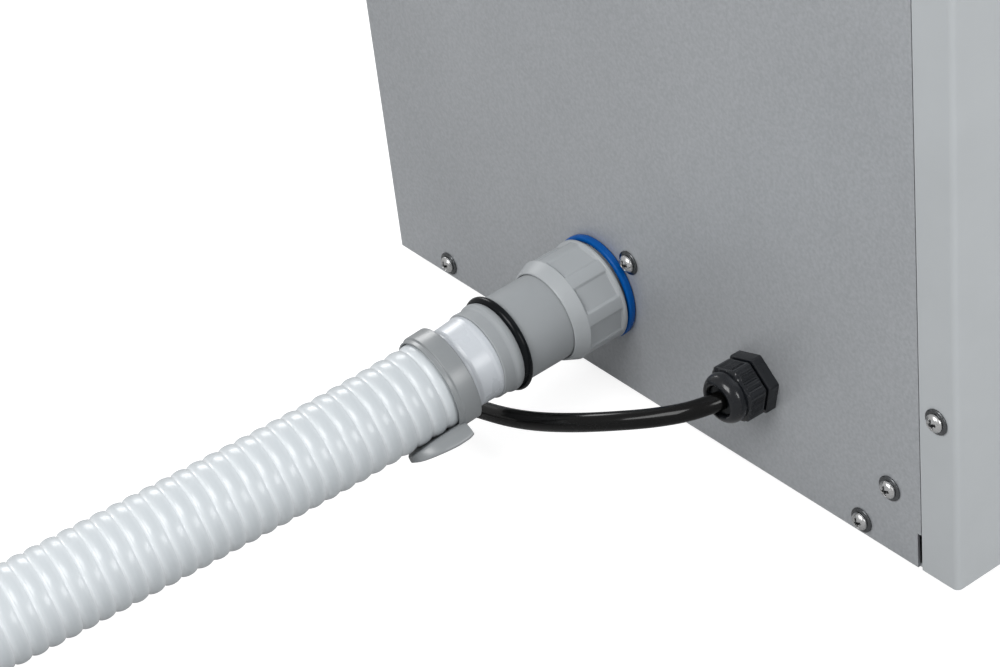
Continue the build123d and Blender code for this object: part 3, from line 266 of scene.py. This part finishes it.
def piece(name, points, faces, slot, replaced=(), body="cabinet", place=Matrix.Identity(4), crease=32,
          finish=None):
    """A mesh piece from points in millimetres in its own frame, in its slot's finish or a special one."""
    mesh = bpy.data.meshes.new(name)
    mesh.from_pydata([place @ (Vector(point) * MM) for point in points], [], faces)
    shell = bmesh.new()
    shell.from_mesh(mesh)
    bmesh.ops.recalc_face_normals(shell, faces=shell.faces)
    shell.to_mesh(mesh)
    shell.free()
    mesh.materials.append(FINISHES[finish or slot])
    mesh.shade_smooth()
    mesh.set_sharp_from_angle(angle=radians(crease))
    made = bpy.data.objects.new(name, mesh)
    bpy.context.scene.collection.objects.link(made)
    if replaced:
        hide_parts(*replaced)
    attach(made, body)
    return made


def skin(rings, closed=False):
    """Points and faces of a skin over rings of equally many points; an open one gets two end faces."""
    count = len(rings[0])
    points = [point for ring in rings for point in ring]
    pairs = [(i, i + 1) for i in range(len(rings) - 1)]
    if closed:
        pairs.append((len(rings) - 1, 0))
    faces = [(a * count + i, a * count + (i + 1) % count, b * count + (i + 1) % count, b * count + i)
             for a, b in pairs for i in range(count)]
    if not closed:
        faces.append(tuple(range(count)))
        faces.append(tuple(range(len(points) - count, len(points))))
    return points, faces


def band(inner, outer, start, end):
    """A four-cornered outline."""
    return [(inner, start), (outer, start), (outer, end), (inner, end)]


def circle(centre, radius, steps=24):
    """A round outline about a centre of (radius, distance)."""
    return [(centre[0] + radius * cos(tau * i / steps), centre[1] + radius * sin(tau * i / steps))
            for i in range(steps)]


def rounded(corners, radius, steps=4):
    """A closed outline with its corners turned into small curves."""
    outline = []
    corners = [Vector(corner) for corner in corners]
    for before, corner, after in zip(corners[-1:] + corners[:-1], corners, corners[1:] + corners[:1]):
        back, ahead = before - corner, after - corner
        opening = back.angle(ahead)
        if opening > NEARLY_STRAIGHT:
            outline.append(corner)
            continue
        reach = min(radius / tan(opening / 2), EDGE_SHARE * back.length, EDGE_SHARE * ahead.length)
        start, end = corner + back.normalized() * reach, corner + ahead.normalized() * reach
        for step in range(steps + 1):
            t = step / steps
            outline.append(start * (1 - t) ** 2 + corner * 2 * t * (1 - t) + end * t**2)
    return outline


def turned(outline, sides, shift=None):
    """Rings of a turned piece: the outline's (radius, distance) at each angle, which shift may move."""
    rings = []
    for step in range(sides):
        angle = tau * step / sides
        ring = []
        for radius, along in outline:
            if shift is not None:
                radius, along = shift(angle, radius, along)
            ring.append((radius * cos(angle), radius * sin(angle), along))
        rings.append(ring)
    return rings


def turned_piece(name, outline, sides, slot, replaced=(), shift=None, **rest):
    """A piece turned about its own axis from a closed outline of (radius, distance)."""
    return piece(name, *skin(turned(outline, sides, shift), True), slot, replaced, **rest)


def ease(value, start, end):
    """0 before start, 1 after end, and smooth between them."""
    t = min(1.0, max(0.0, (value - start) / (end - start)))
    return t * t * (3 - 2 * t)


# ---------------------------------------------------------------- condensate outlet
OUTLET = out(0, 207.6, 47.2)
DROOP = radians(2.2)
SPIGOT_DIR = Vector((-cos(DROOP), 0, -sin(DROOP)))
SPIGOT = placed(OUTLET, SIDEWAYS, SPIGOT_DIR)
ON_PANEL = placed(OUTLET, SIDEWAYS, OUTWARD)
GASKET_BORE = 21.1
GASKET_R = 23.8
GASKET_THICK = 3.5
NUT_R = 23.5
NUT_RIB_R = 23.25
NUT_PANELS = 8
NUT_TURN = radians(12.5)
GRIP_START = 6.2
GRIP_LENGTH = 18.6
GRIP_STEPS = 62
GRIP_BAND = 0.06            # points this near to NUT_RIB_R belong to the grip
SIDES_PER_PANEL = 42
PANEL_START = 6.35
PANEL_END = 24.5
PANEL_HALF = radians(14.6)
PANEL_RAMP = 0.022          # half the width of the slope at a sunk panel's sides, in radians
PANEL_FLAT = 21.9           # distance of a sunk panel's flat floor from the axis
TAIL_BORE = 16.5
TAIL_R = 19.5
TAIL_END = 67.8
GROOVE_R = 18.2
O_RING_R = 19.8             # from the axis to the middle of the ring's section
O_RING_AT = 55.8
O_RING_HALF = 1.9


def sunk_panels(angle, radius, along):
    """The union nut's grip: flat sunk panels between ribs."""
    if abs(radius - NUT_RIB_R) > GRIP_BAND:
        return radius, along
    off = (angle - NUT_TURN) % (tau / NUT_PANELS) - pi / NUT_PANELS
    inside = 1 - ease(abs(off), PANEL_HALF - PANEL_RAMP, PANEL_HALF + PANEL_RAMP)
    length = ease(along, PANEL_START, PANEL_START + 0.6) * (1 - ease(along, PANEL_END - 0.8, PANEL_END))
    return radius - (radius - PANEL_FLAT / cos(off)) * inside * length, along


def outlet():
    """The seal on the panel, the union nut, and the tailpiece with the ring in its groove."""
    seal = rounded(band(GASKET_BORE, GASKET_R, 0, GASKET_THICK), 1.2)
    turned_piece("gasket", seal, 144, "blue_seal", ["drain_gasket"], place=ON_PANEL)
    grip = [(NUT_RIB_R, GRIP_START + GRIP_LENGTH * i / GRIP_STEPS) for i in range(GRIP_STEPS + 1)]
    nut = rounded([(20.9, 4.5), (NUT_R, 4.5), (NUT_R, 5.9), *grip, (21.2, 29.6), (20.6, 31),
                   (19.8, 31), (19.8, 28), (20.9, 27.6)], 0.6)
    turned_piece("union_nut", nut, SIDES_PER_PANEL * NUT_PANELS, "grey_plastic", ["drain_nut"],
                 shift=sunk_panels, body="union_nut", place=SPIGOT, crease=60)
    tail = rounded([(TAIL_BORE, 24.4), (20.6, 24.4), (20.6, 27.2), (TAIL_R, 27.4), (TAIL_R, 54.1),
                    (GROOVE_R, 54.2), (GROOVE_R, 57.4), (19.8, 57.7), (20.3, 59.4), (20.3, 60.6),
                    (19.6, 61.6), (19.3, 62.4), (TAIL_R, 67.3), (19.3, TAIL_END),
                    (TAIL_BORE, TAIL_END)], 0.8)
    turned_piece("tailpiece", tail, 144, "grey_plastic", ["drain_tailpiece"], place=SPIGOT,
                 finish="tail_plastic")
    turned_piece("o_ring", circle((O_RING_R, O_RING_AT), O_RING_HALF), 144, "black_rubber",
                 ["drain_o_ring"], place=SPIGOT, crease=80)


# ---------------------------------------------------------------- hose cuff and clip
CUFF_START = OUTLET + SPIGOT_DIR * TAIL_END * MM
CUFF_DIR = Vector((-24, 1.2, -3.2)).normalized()
CUFF = placed(CUFF_START, UP.cross(CUFF_DIR).normalized(), CUFF_DIR)
CUFF_BORE = 13.5
CUFF_END = 29
CLIP_START = 13.7
CLIP_END = 24.3
CLIP_R = 20.2               # inside of the strap
STRAP_R = 21.9
STRAP_EDGE_R = 21.1         # the strap is thinner along its outer edge
TONGUE_START = 21.6
TONGUE_END = 46.5
TONGUE_STATIONS = 24
TONGUE_AT = -55             # the middle of the tongue's root, in degrees round the cuff
TONGUE_HALF = 25            # half its width at the root, in degrees
TONGUE_THICK = 5.2


def arc(outline, start, end, steps):
    """Rings of an outline of (radius, distance) carried round from one angle to another, in degrees."""
    rings = []
    for step in range(steps + 1):
        angle = radians(start + (end - start) * step / steps)
        rings.append([(radius * cos(angle), radius * sin(angle), along) for radius, along in outline])
    return rings


def thumb_tongue():
    """The clip's free end: a thick tongue under the hose that thins and narrows to a round tip."""
    root = CLIP_R + 0.1
    rings = []
    for station in range(TONGUE_STATIONS + 1):
        t = station / TONGUE_STATIONS
        along = TONGUE_START + (TONGUE_END - TONGUE_START) * t
        belly = 2.6 * ease(t, -0.25, 0.12)
        thinning = 4.6 * max(0.0, t - 0.3) ** 1.3
        width = (1 - max(0.0, (t - 0.5) / 0.52) ** 2.4) ** 0.5
        thick = (TONGUE_THICK + belly - thinning) * (0.45 + 0.55 * width)
        middle = TONGUE_AT - 2 * t
        half = TONGUE_HALF * width
        section = rounded(band(root, root + thick, middle - half, middle + half), 2.4, 5)
        rings.append([(radius * cos(radians(angle)), radius * sin(radians(angle)), along)
                      for radius, angle in section])
    return rings


def hose_joint():
    """The hose's white cuff, and the clip round it."""
    cuff = rounded([(CUFF_BORE, -6), (16.2, -6), (16.2, -2), (18.5, -2), (18.9, 0.3), (18.6, 1.6),
                    (18.3, 9.6), (17.5, 11), (17.6, 12), (17.2, 13), (14.8, 14), (14.8, CUFF_END),
                    (CUFF_BORE, CUFF_END)], 0.6)
    strap = rounded([(CLIP_R, CLIP_START), (STRAP_R, CLIP_START), (STRAP_R, 21.9), (STRAP_EDGE_R, 22.3),
                     (STRAP_EDGE_R, CLIP_END), (CLIP_R, CLIP_END)], 0.5)
    return [turned_piece("cuff", cuff, 120, "white_plastic", ["hose_cuff"], place=CUFF),
            piece("clip", *skin(arc(strap, -35, 245, 140)), "grey_plastic", ["hose_clamp"], place=CUFF,
                  finish="clip_plastic"),
            piece("clip_tongue", *skin(thumb_tongue()), "grey_plastic", place=CUFF, crease=50,
                  finish="clip_plastic")]


# ---------------------------------------------------------------- drain hose
HOSE_CREST = 19.65
HOSE_VALLEY = 18.35
HOSE_BORE = 15.5
HOSE_PITCH = 7.3
HOSE_SIDES = 44
RINGS_PER_PITCH = 10
CREST_SHAPE = 0.55          # under 1, the crests are broad and the valleys narrow
BORE_TONE = 0.5             # the bore's place between the valleys' colour and the crests'
CUFF_LENGTH = 13.0
END_CUFF_BORE = 15
END_CUFF_LENGTH = 42
HOSE_START = CUFF_START + CUFF_DIR * CUFF_LENGTH * MM
HOSE_HEADING = -7.0         # degrees from straight out when it reaches the floor
HOSE_TURN = 30.0            # degrees at each step of its half turn
HOSE_STEP = 118.0
HOSE_STEPS = 6


def hose_route():
    """Out of the clip, down to the floor, and round in one loose half turn."""
    route = [HOSE_START, out(118, 211.4, 37.6), out(165, 217.0, 32.4), out(225, 225.2, 26.4),
             out(290, 234.5, 20.0), out(365, 244.5, 14.65)]
    for i in range(HOSE_STEPS):
        heading = radians(HOSE_HEADING - HOSE_TURN * i)
        route.append(route[-1] + Vector((-cos(heading), sin(heading), 0)) * HOSE_STEP * MM)
    return route


def spline(name, route, thickness=0.0):
    """A smooth curve object that follows a route, as thick as the given radius."""
    curve = bpy.data.curves.new(name, "CURVE")
    curve.dimensions = "3D"
    curve.bevel_depth = thickness
    curve.bevel_resolution = 6
    line = curve.splines.new("NURBS")
    line.points.add(len(route) - 1)
    for point, place in zip(line.points, route):
        point.co = (*place, 1)
    line.order_u = 3
    line.use_endpoint_u = True
    line.resolution_u = 24
    made = bpy.data.objects.new(name, curve)
    bpy.context.scene.collection.objects.link(made)
    return made


def line_points(route, step):
    """Points at even steps along a route's smooth curve, and its length, in metres."""
    guide = spline("guide", route)
    bpy.context.view_layer.update()
    mesh = bpy.data.meshes.new_from_object(guide.evaluated_get(bpy.context.evaluated_depsgraph_get()))
    raw = [vertex.co.copy() for vertex in mesh.vertices]
    bpy.data.objects.remove(guide)
    reach = [0.0]
    for here, ahead in zip(raw, raw[1:]):
        reach.append(reach[-1] + (ahead - here).length)
    count = round(reach[-1] / step)
    points = []
    behind = 0
    for i in range(count + 1):
        along = reach[-1] * i / count
        while behind < len(raw) - 2 and reach[behind + 1] < along:
            behind += 1
        share = (along - reach[behind]) / (reach[behind + 1] - reach[behind])
        points.append(raw[behind].lerp(raw[behind + 1], share))
    return points, reach[-1]


def tube_frames(points):
    """A point and two directions across the line at each point, carried along without twist."""
    frames = []
    across = UP
    for i, point in enumerate(points):
        along = (points[min(i + 1, len(points) - 1)] - points[max(i - 1, 0)]).normalized()
        across = (across - along * across.dot(along)).normalized()
        frames.append((point, across, along.cross(across)))
    return frames


def ring_at(place, radius, sides):
    """A ring of points across the line, in millimetres."""
    point, across, beside = place
    return [(point + (across * cos(tau * i / sides) + beside * sin(tau * i / sides)) * radius * MM) / MM
            for i in range(sides)]


def hose():
    """The corrugated wall outside, and the smooth bore inside."""
    points, length = line_points(hose_route(), HOSE_PITCH * MM / RINGS_PER_PITCH)
    frames = tube_frames(points)
    rings, crests = [], []
    for i, place in enumerate(frames):
        swell = abs(sin(pi * i / RINGS_PER_PITCH)) ** CREST_SHAPE
        rings.append(ring_at(place, HOSE_VALLEY + (HOSE_CREST - HOSE_VALLEY) * swell, HOSE_SIDES))
        crests.append(swell)
    for place in reversed(frames[::RINGS_PER_PITCH]):
        rings.append(ring_at(place, HOSE_BORE, HOSE_SIDES))
        crests.append(BORE_TONE)
    made = piece("hose", *skin(rings, True), "hose_plastic", ["drain_hose"], crease=120)
    # this value sets the hose's painted light: whiter in the valleys, darker on the crests
    crest = made.data.attributes.new("crest", "FLOAT", "POINT")
    crest.data.foreach_set("value", [value for value in crests for i in range(HOSE_SIDES)])
    return made, points, length, frames[-1]


def hose_end(place):
    """The plain cuff on the hose's free end."""
    point, across, beside = place
    end = placed(point, across, across.cross(beside))
    cuff = rounded([(END_CUFF_BORE, 0), (HOSE_CREST, 0), (HOSE_CREST, 5.5), (18.6, 6.4), (18.6, 12),
                    (18.2, 12.6), (18.2, 39.4), (18.6, 40), (18.6, END_CUFF_LENGTH),
                    (END_CUFF_BORE, END_CUFF_LENGTH)], 0.5)
    return turned_piece("end_cuff", cuff, 96, "white_plastic", ["hose_end_cuff"], place=end)


def drain():
    """The hose with its cuffs and its clip."""
    joint = hose_joint()
    made, points, length, end = hose()
    joint.append(hose_end(end))


# ---------------------------------------------------------------- cable gland
GLAND_Y = 109.6
GLAND_Z = 46.2
GLAND = placed(out(0, GLAND_Y, GLAND_Z), SIDEWAYS, OUTWARD)
GLAND_TURN = radians(17)
FLANGE_AF = 24.0            # across flats
NUT_AF = 22.6
CORNER_SHARE = 0.985        # how much of a hexagon's corner radius is left when a circle has cut it
RIB_HEIGHT = 0.28
RIB_PITCH = 1.05
RIBS_HALF = 4.9             # the ribs take this much of a flat to either side of its middle
SIDE_STEPS = 66


def hexagon(across_flats, ribs=0.0):
    """The radius at an angle of a hexagon with its corners cut off round and ribs on its flats."""
    flat = across_flats / 2

    def radius(angle):
        turn = (angle - GLAND_TURN) % (pi / 3) - pi / 6
        off = flat * tan(turn)
        ridge = ribs * max(0.0, cos(tau * off / RIB_PITCH)) if abs(off) < RIBS_HALF else 0.0
        return min(flat / cos(turn) + ridge, flat / cos(pi / 6) * CORNER_SHARE)
    return radius


def hex_rings(stations):
    """Rings at stations of (radius, distance), where a radius is a number or a function of the angle."""
    rings = []
    for radius, along in stations:
        ring = []
        for step in range(6 * SIDE_STEPS):
            angle = tau * step / (6 * SIDE_STEPS)
            reach = radius(angle) if callable(radius) else radius
            ring.append((reach * cos(angle), reach * sin(angle), along))
        rings.append(ring)
    return rings


def gland():
    """The hexagon flange, and the ribbed cap with its round collar about the cable."""
    def smaller(radius, share):
        return lambda angle: radius(angle) * share

    def capped(radius, limit):
        return lambda angle: min(radius(angle), limit)

    whole = hexagon(FLANGE_AF)
    flange = [(6.4, 0), (whole, 0.02), (whole, 4.4), (smaller(whole, 0.985), 4.8),
              (smaller(whole, 0.96), 5.0), (9.4, 5.02), (9.4, 7.0), (6.4, 7.0)]
    piece("gland_flange", *skin(hex_rings(flange), True), "black_plastic", ["gland_body"], place=GLAND)
    plain = hexagon(NUT_AF)
    ribbed = hexagon(NUT_AF, RIB_HEIGHT)
    collar = [(10.8, 15.4), (10.95, 16.4), (10.9, 17.6), (10.6, 18.8), (10.0, 19.9), (9.2, 20.8),
              (8.3, 21.3), (7.6, 21.35), (7.1, 21.0), (6.9, 20.3), (6.9, 12.0)]
    cap = [(9.7, 5.8), (smaller(plain, 0.97), 5.82), (plain, 6.2), (plain, 6.7), (ribbed, 6.9),
           (ribbed, 13.4), (plain, 13.6), (plain, 14.0), (capped(plain, 12.1), 14.5),
           (capped(plain, 11.3), 14.9), (10.7, 15.0), *collar, (9.7, 12.0)]
    piece("gland_cap", *skin(hex_rings(cap), True), "black_plastic", ["gland_nut"], place=GLAND, crease=30)


# ---------------------------------------------------------------- screws
HEAD_R = 3.9
NECK = 1.35                 # the dome starts this far above the panel
DOME_H = 2.15
DOME_STEPS = 34
CORE_R = 0.04               # where the outline stops short of the axis
SHANK_R = 2.0
SHANK_LENGTH = 8
FLANGE_EDGE = [(5.3, 0), (5.45, 0.1), (5.5, 0.25), (5.5, 0.5), (5.45, 0.65), (5.3, 0.78)]
RECESS_R = 2.3
RECESS_DEPTH = 1.9
RECESS_LOW = 0.9            # only points higher than this above the neck are sunk
RECESS_TURN = radians(20)
RECESS_RIM = 0.3            # width of the slope at the ends of the cross
SLOT_HALF = 0.62            # half the width of the cross's arms at the middle
SLOT_RIM = 0.12             # half the width of the slope along them
PANEL_SCREWS = [(35.4, 31.4), (51.6, 6.6), (186.1, 68.0), (320.9, 6.9), (35.4, 560.0), (200.0, 672.0),
                (345.0, 350.0)]
COVER_SCREWS = [(9.8, 76.7), (9.8, 360.0), (9.8, 640.0)]


def cross_recess(angle, radius, along):
    """Sinks a cross, one slot each way, into the top of a screw's head."""
    if along < NECK + RECESS_LOW or radius > RECESS_R + RECESS_RIM:
        return radius, along
    beside = radius * min(abs(cos(angle)), abs(sin(angle)))
    slot_half = SLOT_HALF - 0.12 * radius / RECESS_R
    inside = 1 - ease(beside, slot_half - SLOT_RIM, slot_half + SLOT_RIM)
    inside *= 1 - ease(radius, RECESS_R - RECESS_RIM, RECESS_R)
    return radius, along - inside * (RECESS_DEPTH - 0.35 * radius)


def painted_shade_share(point):
    """How much painted shade darkens a point: 1 on a screw's flange, 0 on its dome, and between them in
    the recess.
    """
    if point.z < NECK - 0.2:
        return 1.0
    whole = NECK + DOME_H * (1 - min(1.0, point.xy.length / HEAD_R) ** 2) ** 0.5
    return 0.85 * ease(whole - point.z, 0.1, 0.8)


def screws(name, replaced, spots):
    """Domed heads on wide flanges, with a cross recess each."""
    rises = [pi / 2 * i / DOME_STEPS for i in range(2, DOME_STEPS)]
    dome = [(HEAD_R * cos(rise), NECK + DOME_H * sin(rise)) for rise in rises]
    outline = [(CORE_R, -SHANK_LENGTH), (SHANK_R, -SHANK_LENGTH), (SHANK_R, 0), *FLANGE_EDGE,
               (HEAD_R, 0.95), (HEAD_R, 1.1), *dome, (CORE_R, NECK + DOME_H)]
    head, sides = skin(turned(outline, 96, cross_recess), True)
    turn = Matrix.Rotation(RECESS_TURN, 4, "Z")
    points, faces, painted_shade = [], [], []
    for away, y, z in spots:
        facing = OUTWARD if away == 0 else -OUTWARD
        spot = placed(out(away, y, z), SIDEWAYS, facing) @ turn
        faces += [tuple(corner + len(points) for corner in face) for face in sides]
        points += [spot @ (Vector(point) * MM) / MM for point in head]
        # painted shade on each flange and in each recess
        painted_shade += [painted_shade_share(Vector(point)) for point in head]
    made = piece(name, points, faces, "bright_steel", [replaced], crease=38, finish="screw_steel")
    made.data.attributes.new("painted_shade", "FLOAT", "POINT").data.foreach_set("value", painted_shade)


def all_screws():
    """The side panel's screws, and the front cover's on both sides of the cabinet."""
    screws("panel_screws", "left_panel_screws", [(0, y, z) for y, z in PANEL_SCREWS])
    right_side = (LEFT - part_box("front_cover")[1].x) / MM
    both_sides = [(away, y, z) for away in (0, right_side) for y, z in COVER_SCREWS]
    screws("front_screws", "cover_screws", both_sides)


# ---------------------------------------------------------------- power cable
CABLE_R = 4.0
COIL_AT = out(352, 334.0, 0) - UP * LOW
ROW_LOW = 5.2
ROW_HIGH = 13.2
TURN_STEPS = 16
COIL_STRETCHES = [          # number of turns, radius from and to, height from and to
    (2.75, 57.6, 37.2, ROW_LOW, ROW_LOW),
    (0.5, 36.6, 36.6, ROW_LOW, ROW_HIGH),
    (1.25, 36.6, 47.0, ROW_HIGH, ROW_HIGH),
]
PLUG_Y = 47
PLUG_AT = COIL_AT + Vector((30, PLUG_Y, 18.5)) * MM
PLUG_CORE_R = 0.05          # where the outlines stop short of the axis
PLUG_LENGTH = 58
RELIEF_RIBS = 5
RELIEF_PITCH = 4.0
PIN_R = 2.4
PIN_END = 77
PIN_OFFSET = 9.5


def cable_route():
    """Out of the gland, down past the outlet to the floor, along it, and into the coil."""
    return [out(19.5, GLAND_Y, GLAND_Z), out(27, 111.2, 46.0), out(35, 116.6, 44.3), out(43, 126.4, 41.2),
            out(51.5, 139.5, 37.6), out(58.5, 156, 32), out(63.3, 175.5, 25), out(64.8, 196, 17.8),
            out(63.6, 217, 10.6), out(63, 238, 3.6), out(73.5, 258.5, -0.4), out(94, 270, -1.0),
            out(121, 270.5, -1.0), out(166, 267, -1.0), out(213, 266.6, -1.0), out(256, 267.8, -1.0),
            out(302, 272.6, -0.6), out(350, 276.4, 0.2)]


def coil_route():
    """A flat spiral inwards on the floor, a second layer outwards on top of it, and up to the plug."""
    places = []
    for count, start, end, low, high in COIL_STRETCHES:
        steps = int(count * TURN_STEPS)
        for i in range(1, steps + 1):
            share = i / steps
            places.append((start + (end - start) * share, low + (high - low) * share))
    route = []
    for i, (radius, height) in enumerate(places):
        angle = -pi / 2 - tau * (i + 1) / TURN_STEPS
        route.append(COIL_AT + Vector((radius * cos(angle), radius * sin(angle), height)) * MM)
    rise = [COIL_AT + Vector((x, PLUG_Y, z)) * MM for x, z in ((8, 14.5), (18, 17.6))]
    return route + rise + [PLUG_AT]


def plug():
    """Round moulded plug with a ribbed strain relief and two pins; its axis is +X."""
    place = placed(PLUG_AT, SIDEWAYS, -OUTWARD)
    relief = []
    for i in range(RELIEF_RIBS):
        start = 2 + RELIEF_PITCH * i
        radius = 4.9 + 0.38 * i
        relief += [(radius, start), (radius + 0.2, start + 2.2),
                   (radius - 0.7, start + 2.6), (radius - 0.6, start + 3.7)]
    body = rounded([(PLUG_CORE_R, 0), (4.6, 0), *relief, (8.5, 24), (13, 28), (17, 31.5), (18.5, 37),
                    (18.5, 44), (17.7, 45), (17.7, 53), (18.5, 54), (18.5, PLUG_LENGTH),
                    (PLUG_CORE_R, PLUG_LENGTH)], 0.5)
    made = [turned_piece("plug", body, 96, "black_plastic", ["power_plug"], place=place)]
    pin = rounded([(PLUG_CORE_R, 56), (PIN_R, 56), (PIN_R, PIN_END - 1), (PIN_R - 1, PIN_END),
                   (PLUG_CORE_R, PIN_END)], 0.6)
    for side, name in ((-1, "pin_near"), (1, "pin_far")):
        at = place @ Matrix.Translation(Vector((side * PIN_OFFSET, 0, 0)) * MM)
        made.append(turned_piece(name, pin, 32, "bright_steel", place=at))
    return made


def cable():
    """The cable as one curve, from the gland to the plug."""
    route = cable_route() + coil_route()
    made = spline("cable", route, CABLE_R * MM)
    made.data.materials.append(FINISHES["cable_jacket"])
    made.data.use_fill_caps = True
    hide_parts("power_cable", "power_cable_coil")
    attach(made, "cabinet")
    length = line_points(route, 4 * MM)[1]
    plug() + [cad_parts["cable_tie"]]


# ---------------------------------------------------------------- floor, light and camera
FLOOR_HALF = 6              # metres
FLOOR_SEEN = 0.84           # its glow where it is looked at
FLOOR_CAST = 0.05           # its glow where it lights other things
SKY_SEEN = 1.0
SKY_CAST = 0.55
CAMERA_AT = out(580.2, -562.6, 689.6)
CAMERA_RIGHT = Vector((0.7793, -0.6179, -0.1032))
CAMERA_UP = Vector((0.4200, 0.3931, 0.8180))
SENSOR_WIDTH = 36
FOCAL_LENGTH = 97.85


def glows_for_the_eye(nodes, links, strength, seen, cast):
    """A strength that is one value where it is looked at and another where it lights other things."""
    path = nodes.new("ShaderNodeLightPath")
    pick = nodes.new("ShaderNodeMapRange")
    pick.inputs["To Min"].default_value = cast
    pick.inputs["To Max"].default_value = seen
    links.new(path.outputs["Is Camera Ray"], pick.inputs["Value"])
    links.new(pick.outputs["Result"], strength)


def stage():
    """A plain white floor, bright enough to be white under the studio light."""
    paper = Finish("white_paper", 0.0, [("Emission Color", (1, 1, 1, 1)), ("Specular IOR Level", 0.1)])
    clouds = paper.noise(3.0)
    tones = paper.blend(clouds, (0.33, 0.33, 0.33), (0.35, 0.35, 0.35))
    paper.surface(tones, paper.spread(clouds, 0.9, 0.95))
    glow = paper.shader.inputs["Emission Strength"]
    glows_for_the_eye(paper.nodes, paper.links, glow, FLOOR_SEEN, FLOOR_CAST)
    floor = bpy.data.meshes.new("floor")
    corners = [(x * FLOOR_HALF, y * FLOOR_HALF, 0) for x, y in ((-1, -1), (1, -1), (1, 1), (-1, 1))]
    floor.from_pydata(corners, [], [(0, 1, 2, 3)])
    floor.materials.append(paper.material)
    made = bpy.data.objects.new("floor", floor)
    bpy.context.scene.collection.objects.link(made)


def softbox(name, at, target, size, power):
    """A rectangular lamp that faces its target; places and sizes are in metres."""
    lamp = bpy.data.lights.new(name, "AREA")
    lamp.shape = "RECTANGLE"
    lamp.size, lamp.size_y = size
    lamp.energy = power
    made = bpy.data.objects.new(name, lamp)
    made.location = at
    made.rotation_euler = (Vector(target) - Vector(at)).to_track_quat("-Z", "Y").to_euler()
    bpy.context.scene.collection.objects.link(made)


def lights():
    """A white surround and three softboxes: over the outlet, in front, and behind."""
    world = bpy.data.worlds.new("studio")
    world.use_nodes = True
    nodes = world.node_tree.nodes
    sky = nodes["Background"]
    sky.inputs["Color"].default_value = (1, 1, 1, 1)
    glows_for_the_eye(nodes, world.node_tree.links, sky.inputs["Strength"], SKY_SEEN, SKY_CAST)
    bpy.context.scene.world = world
    softbox("key", (LEFT - 1.05, FRONT, 1.05), (LEFT, FRONT + 0.2, 0.05), (0.8, 0.7), 15)
    softbox("front", (LEFT + 0.5, FRONT - 1.6, 1.0), (LEFT, FRONT, 0.1), (1.2, 0.8), 25)
    softbox("back", (LEFT + 0.6, FRONT + 2.2, 1.2), (LEFT + 0.3, FRONT + 0.3, 0.35), (1.2, 0.8), 24)


def camera():
    """Looks down on the outlet from the front and the left."""
    lens = bpy.data.cameras.new("camera")
    lens.sensor_width = SENSOR_WIDTH
    lens.lens = FOCAL_LENGTH
    made = bpy.data.objects.new("camera", lens)
    made.matrix_world = placed(CAMERA_AT, CAMERA_RIGHT, CAMERA_RIGHT.cross(CAMERA_UP))
    bpy.context.scene.collection.objects.link(made)
    bpy.context.scene.camera = made


all_finishes()
finish_nodes()
outlet()
drain()
gland()
all_screws()
cable()
stage()
lights()
camera()
bpy.context.scene.view_settings.view_transform = "Standard"
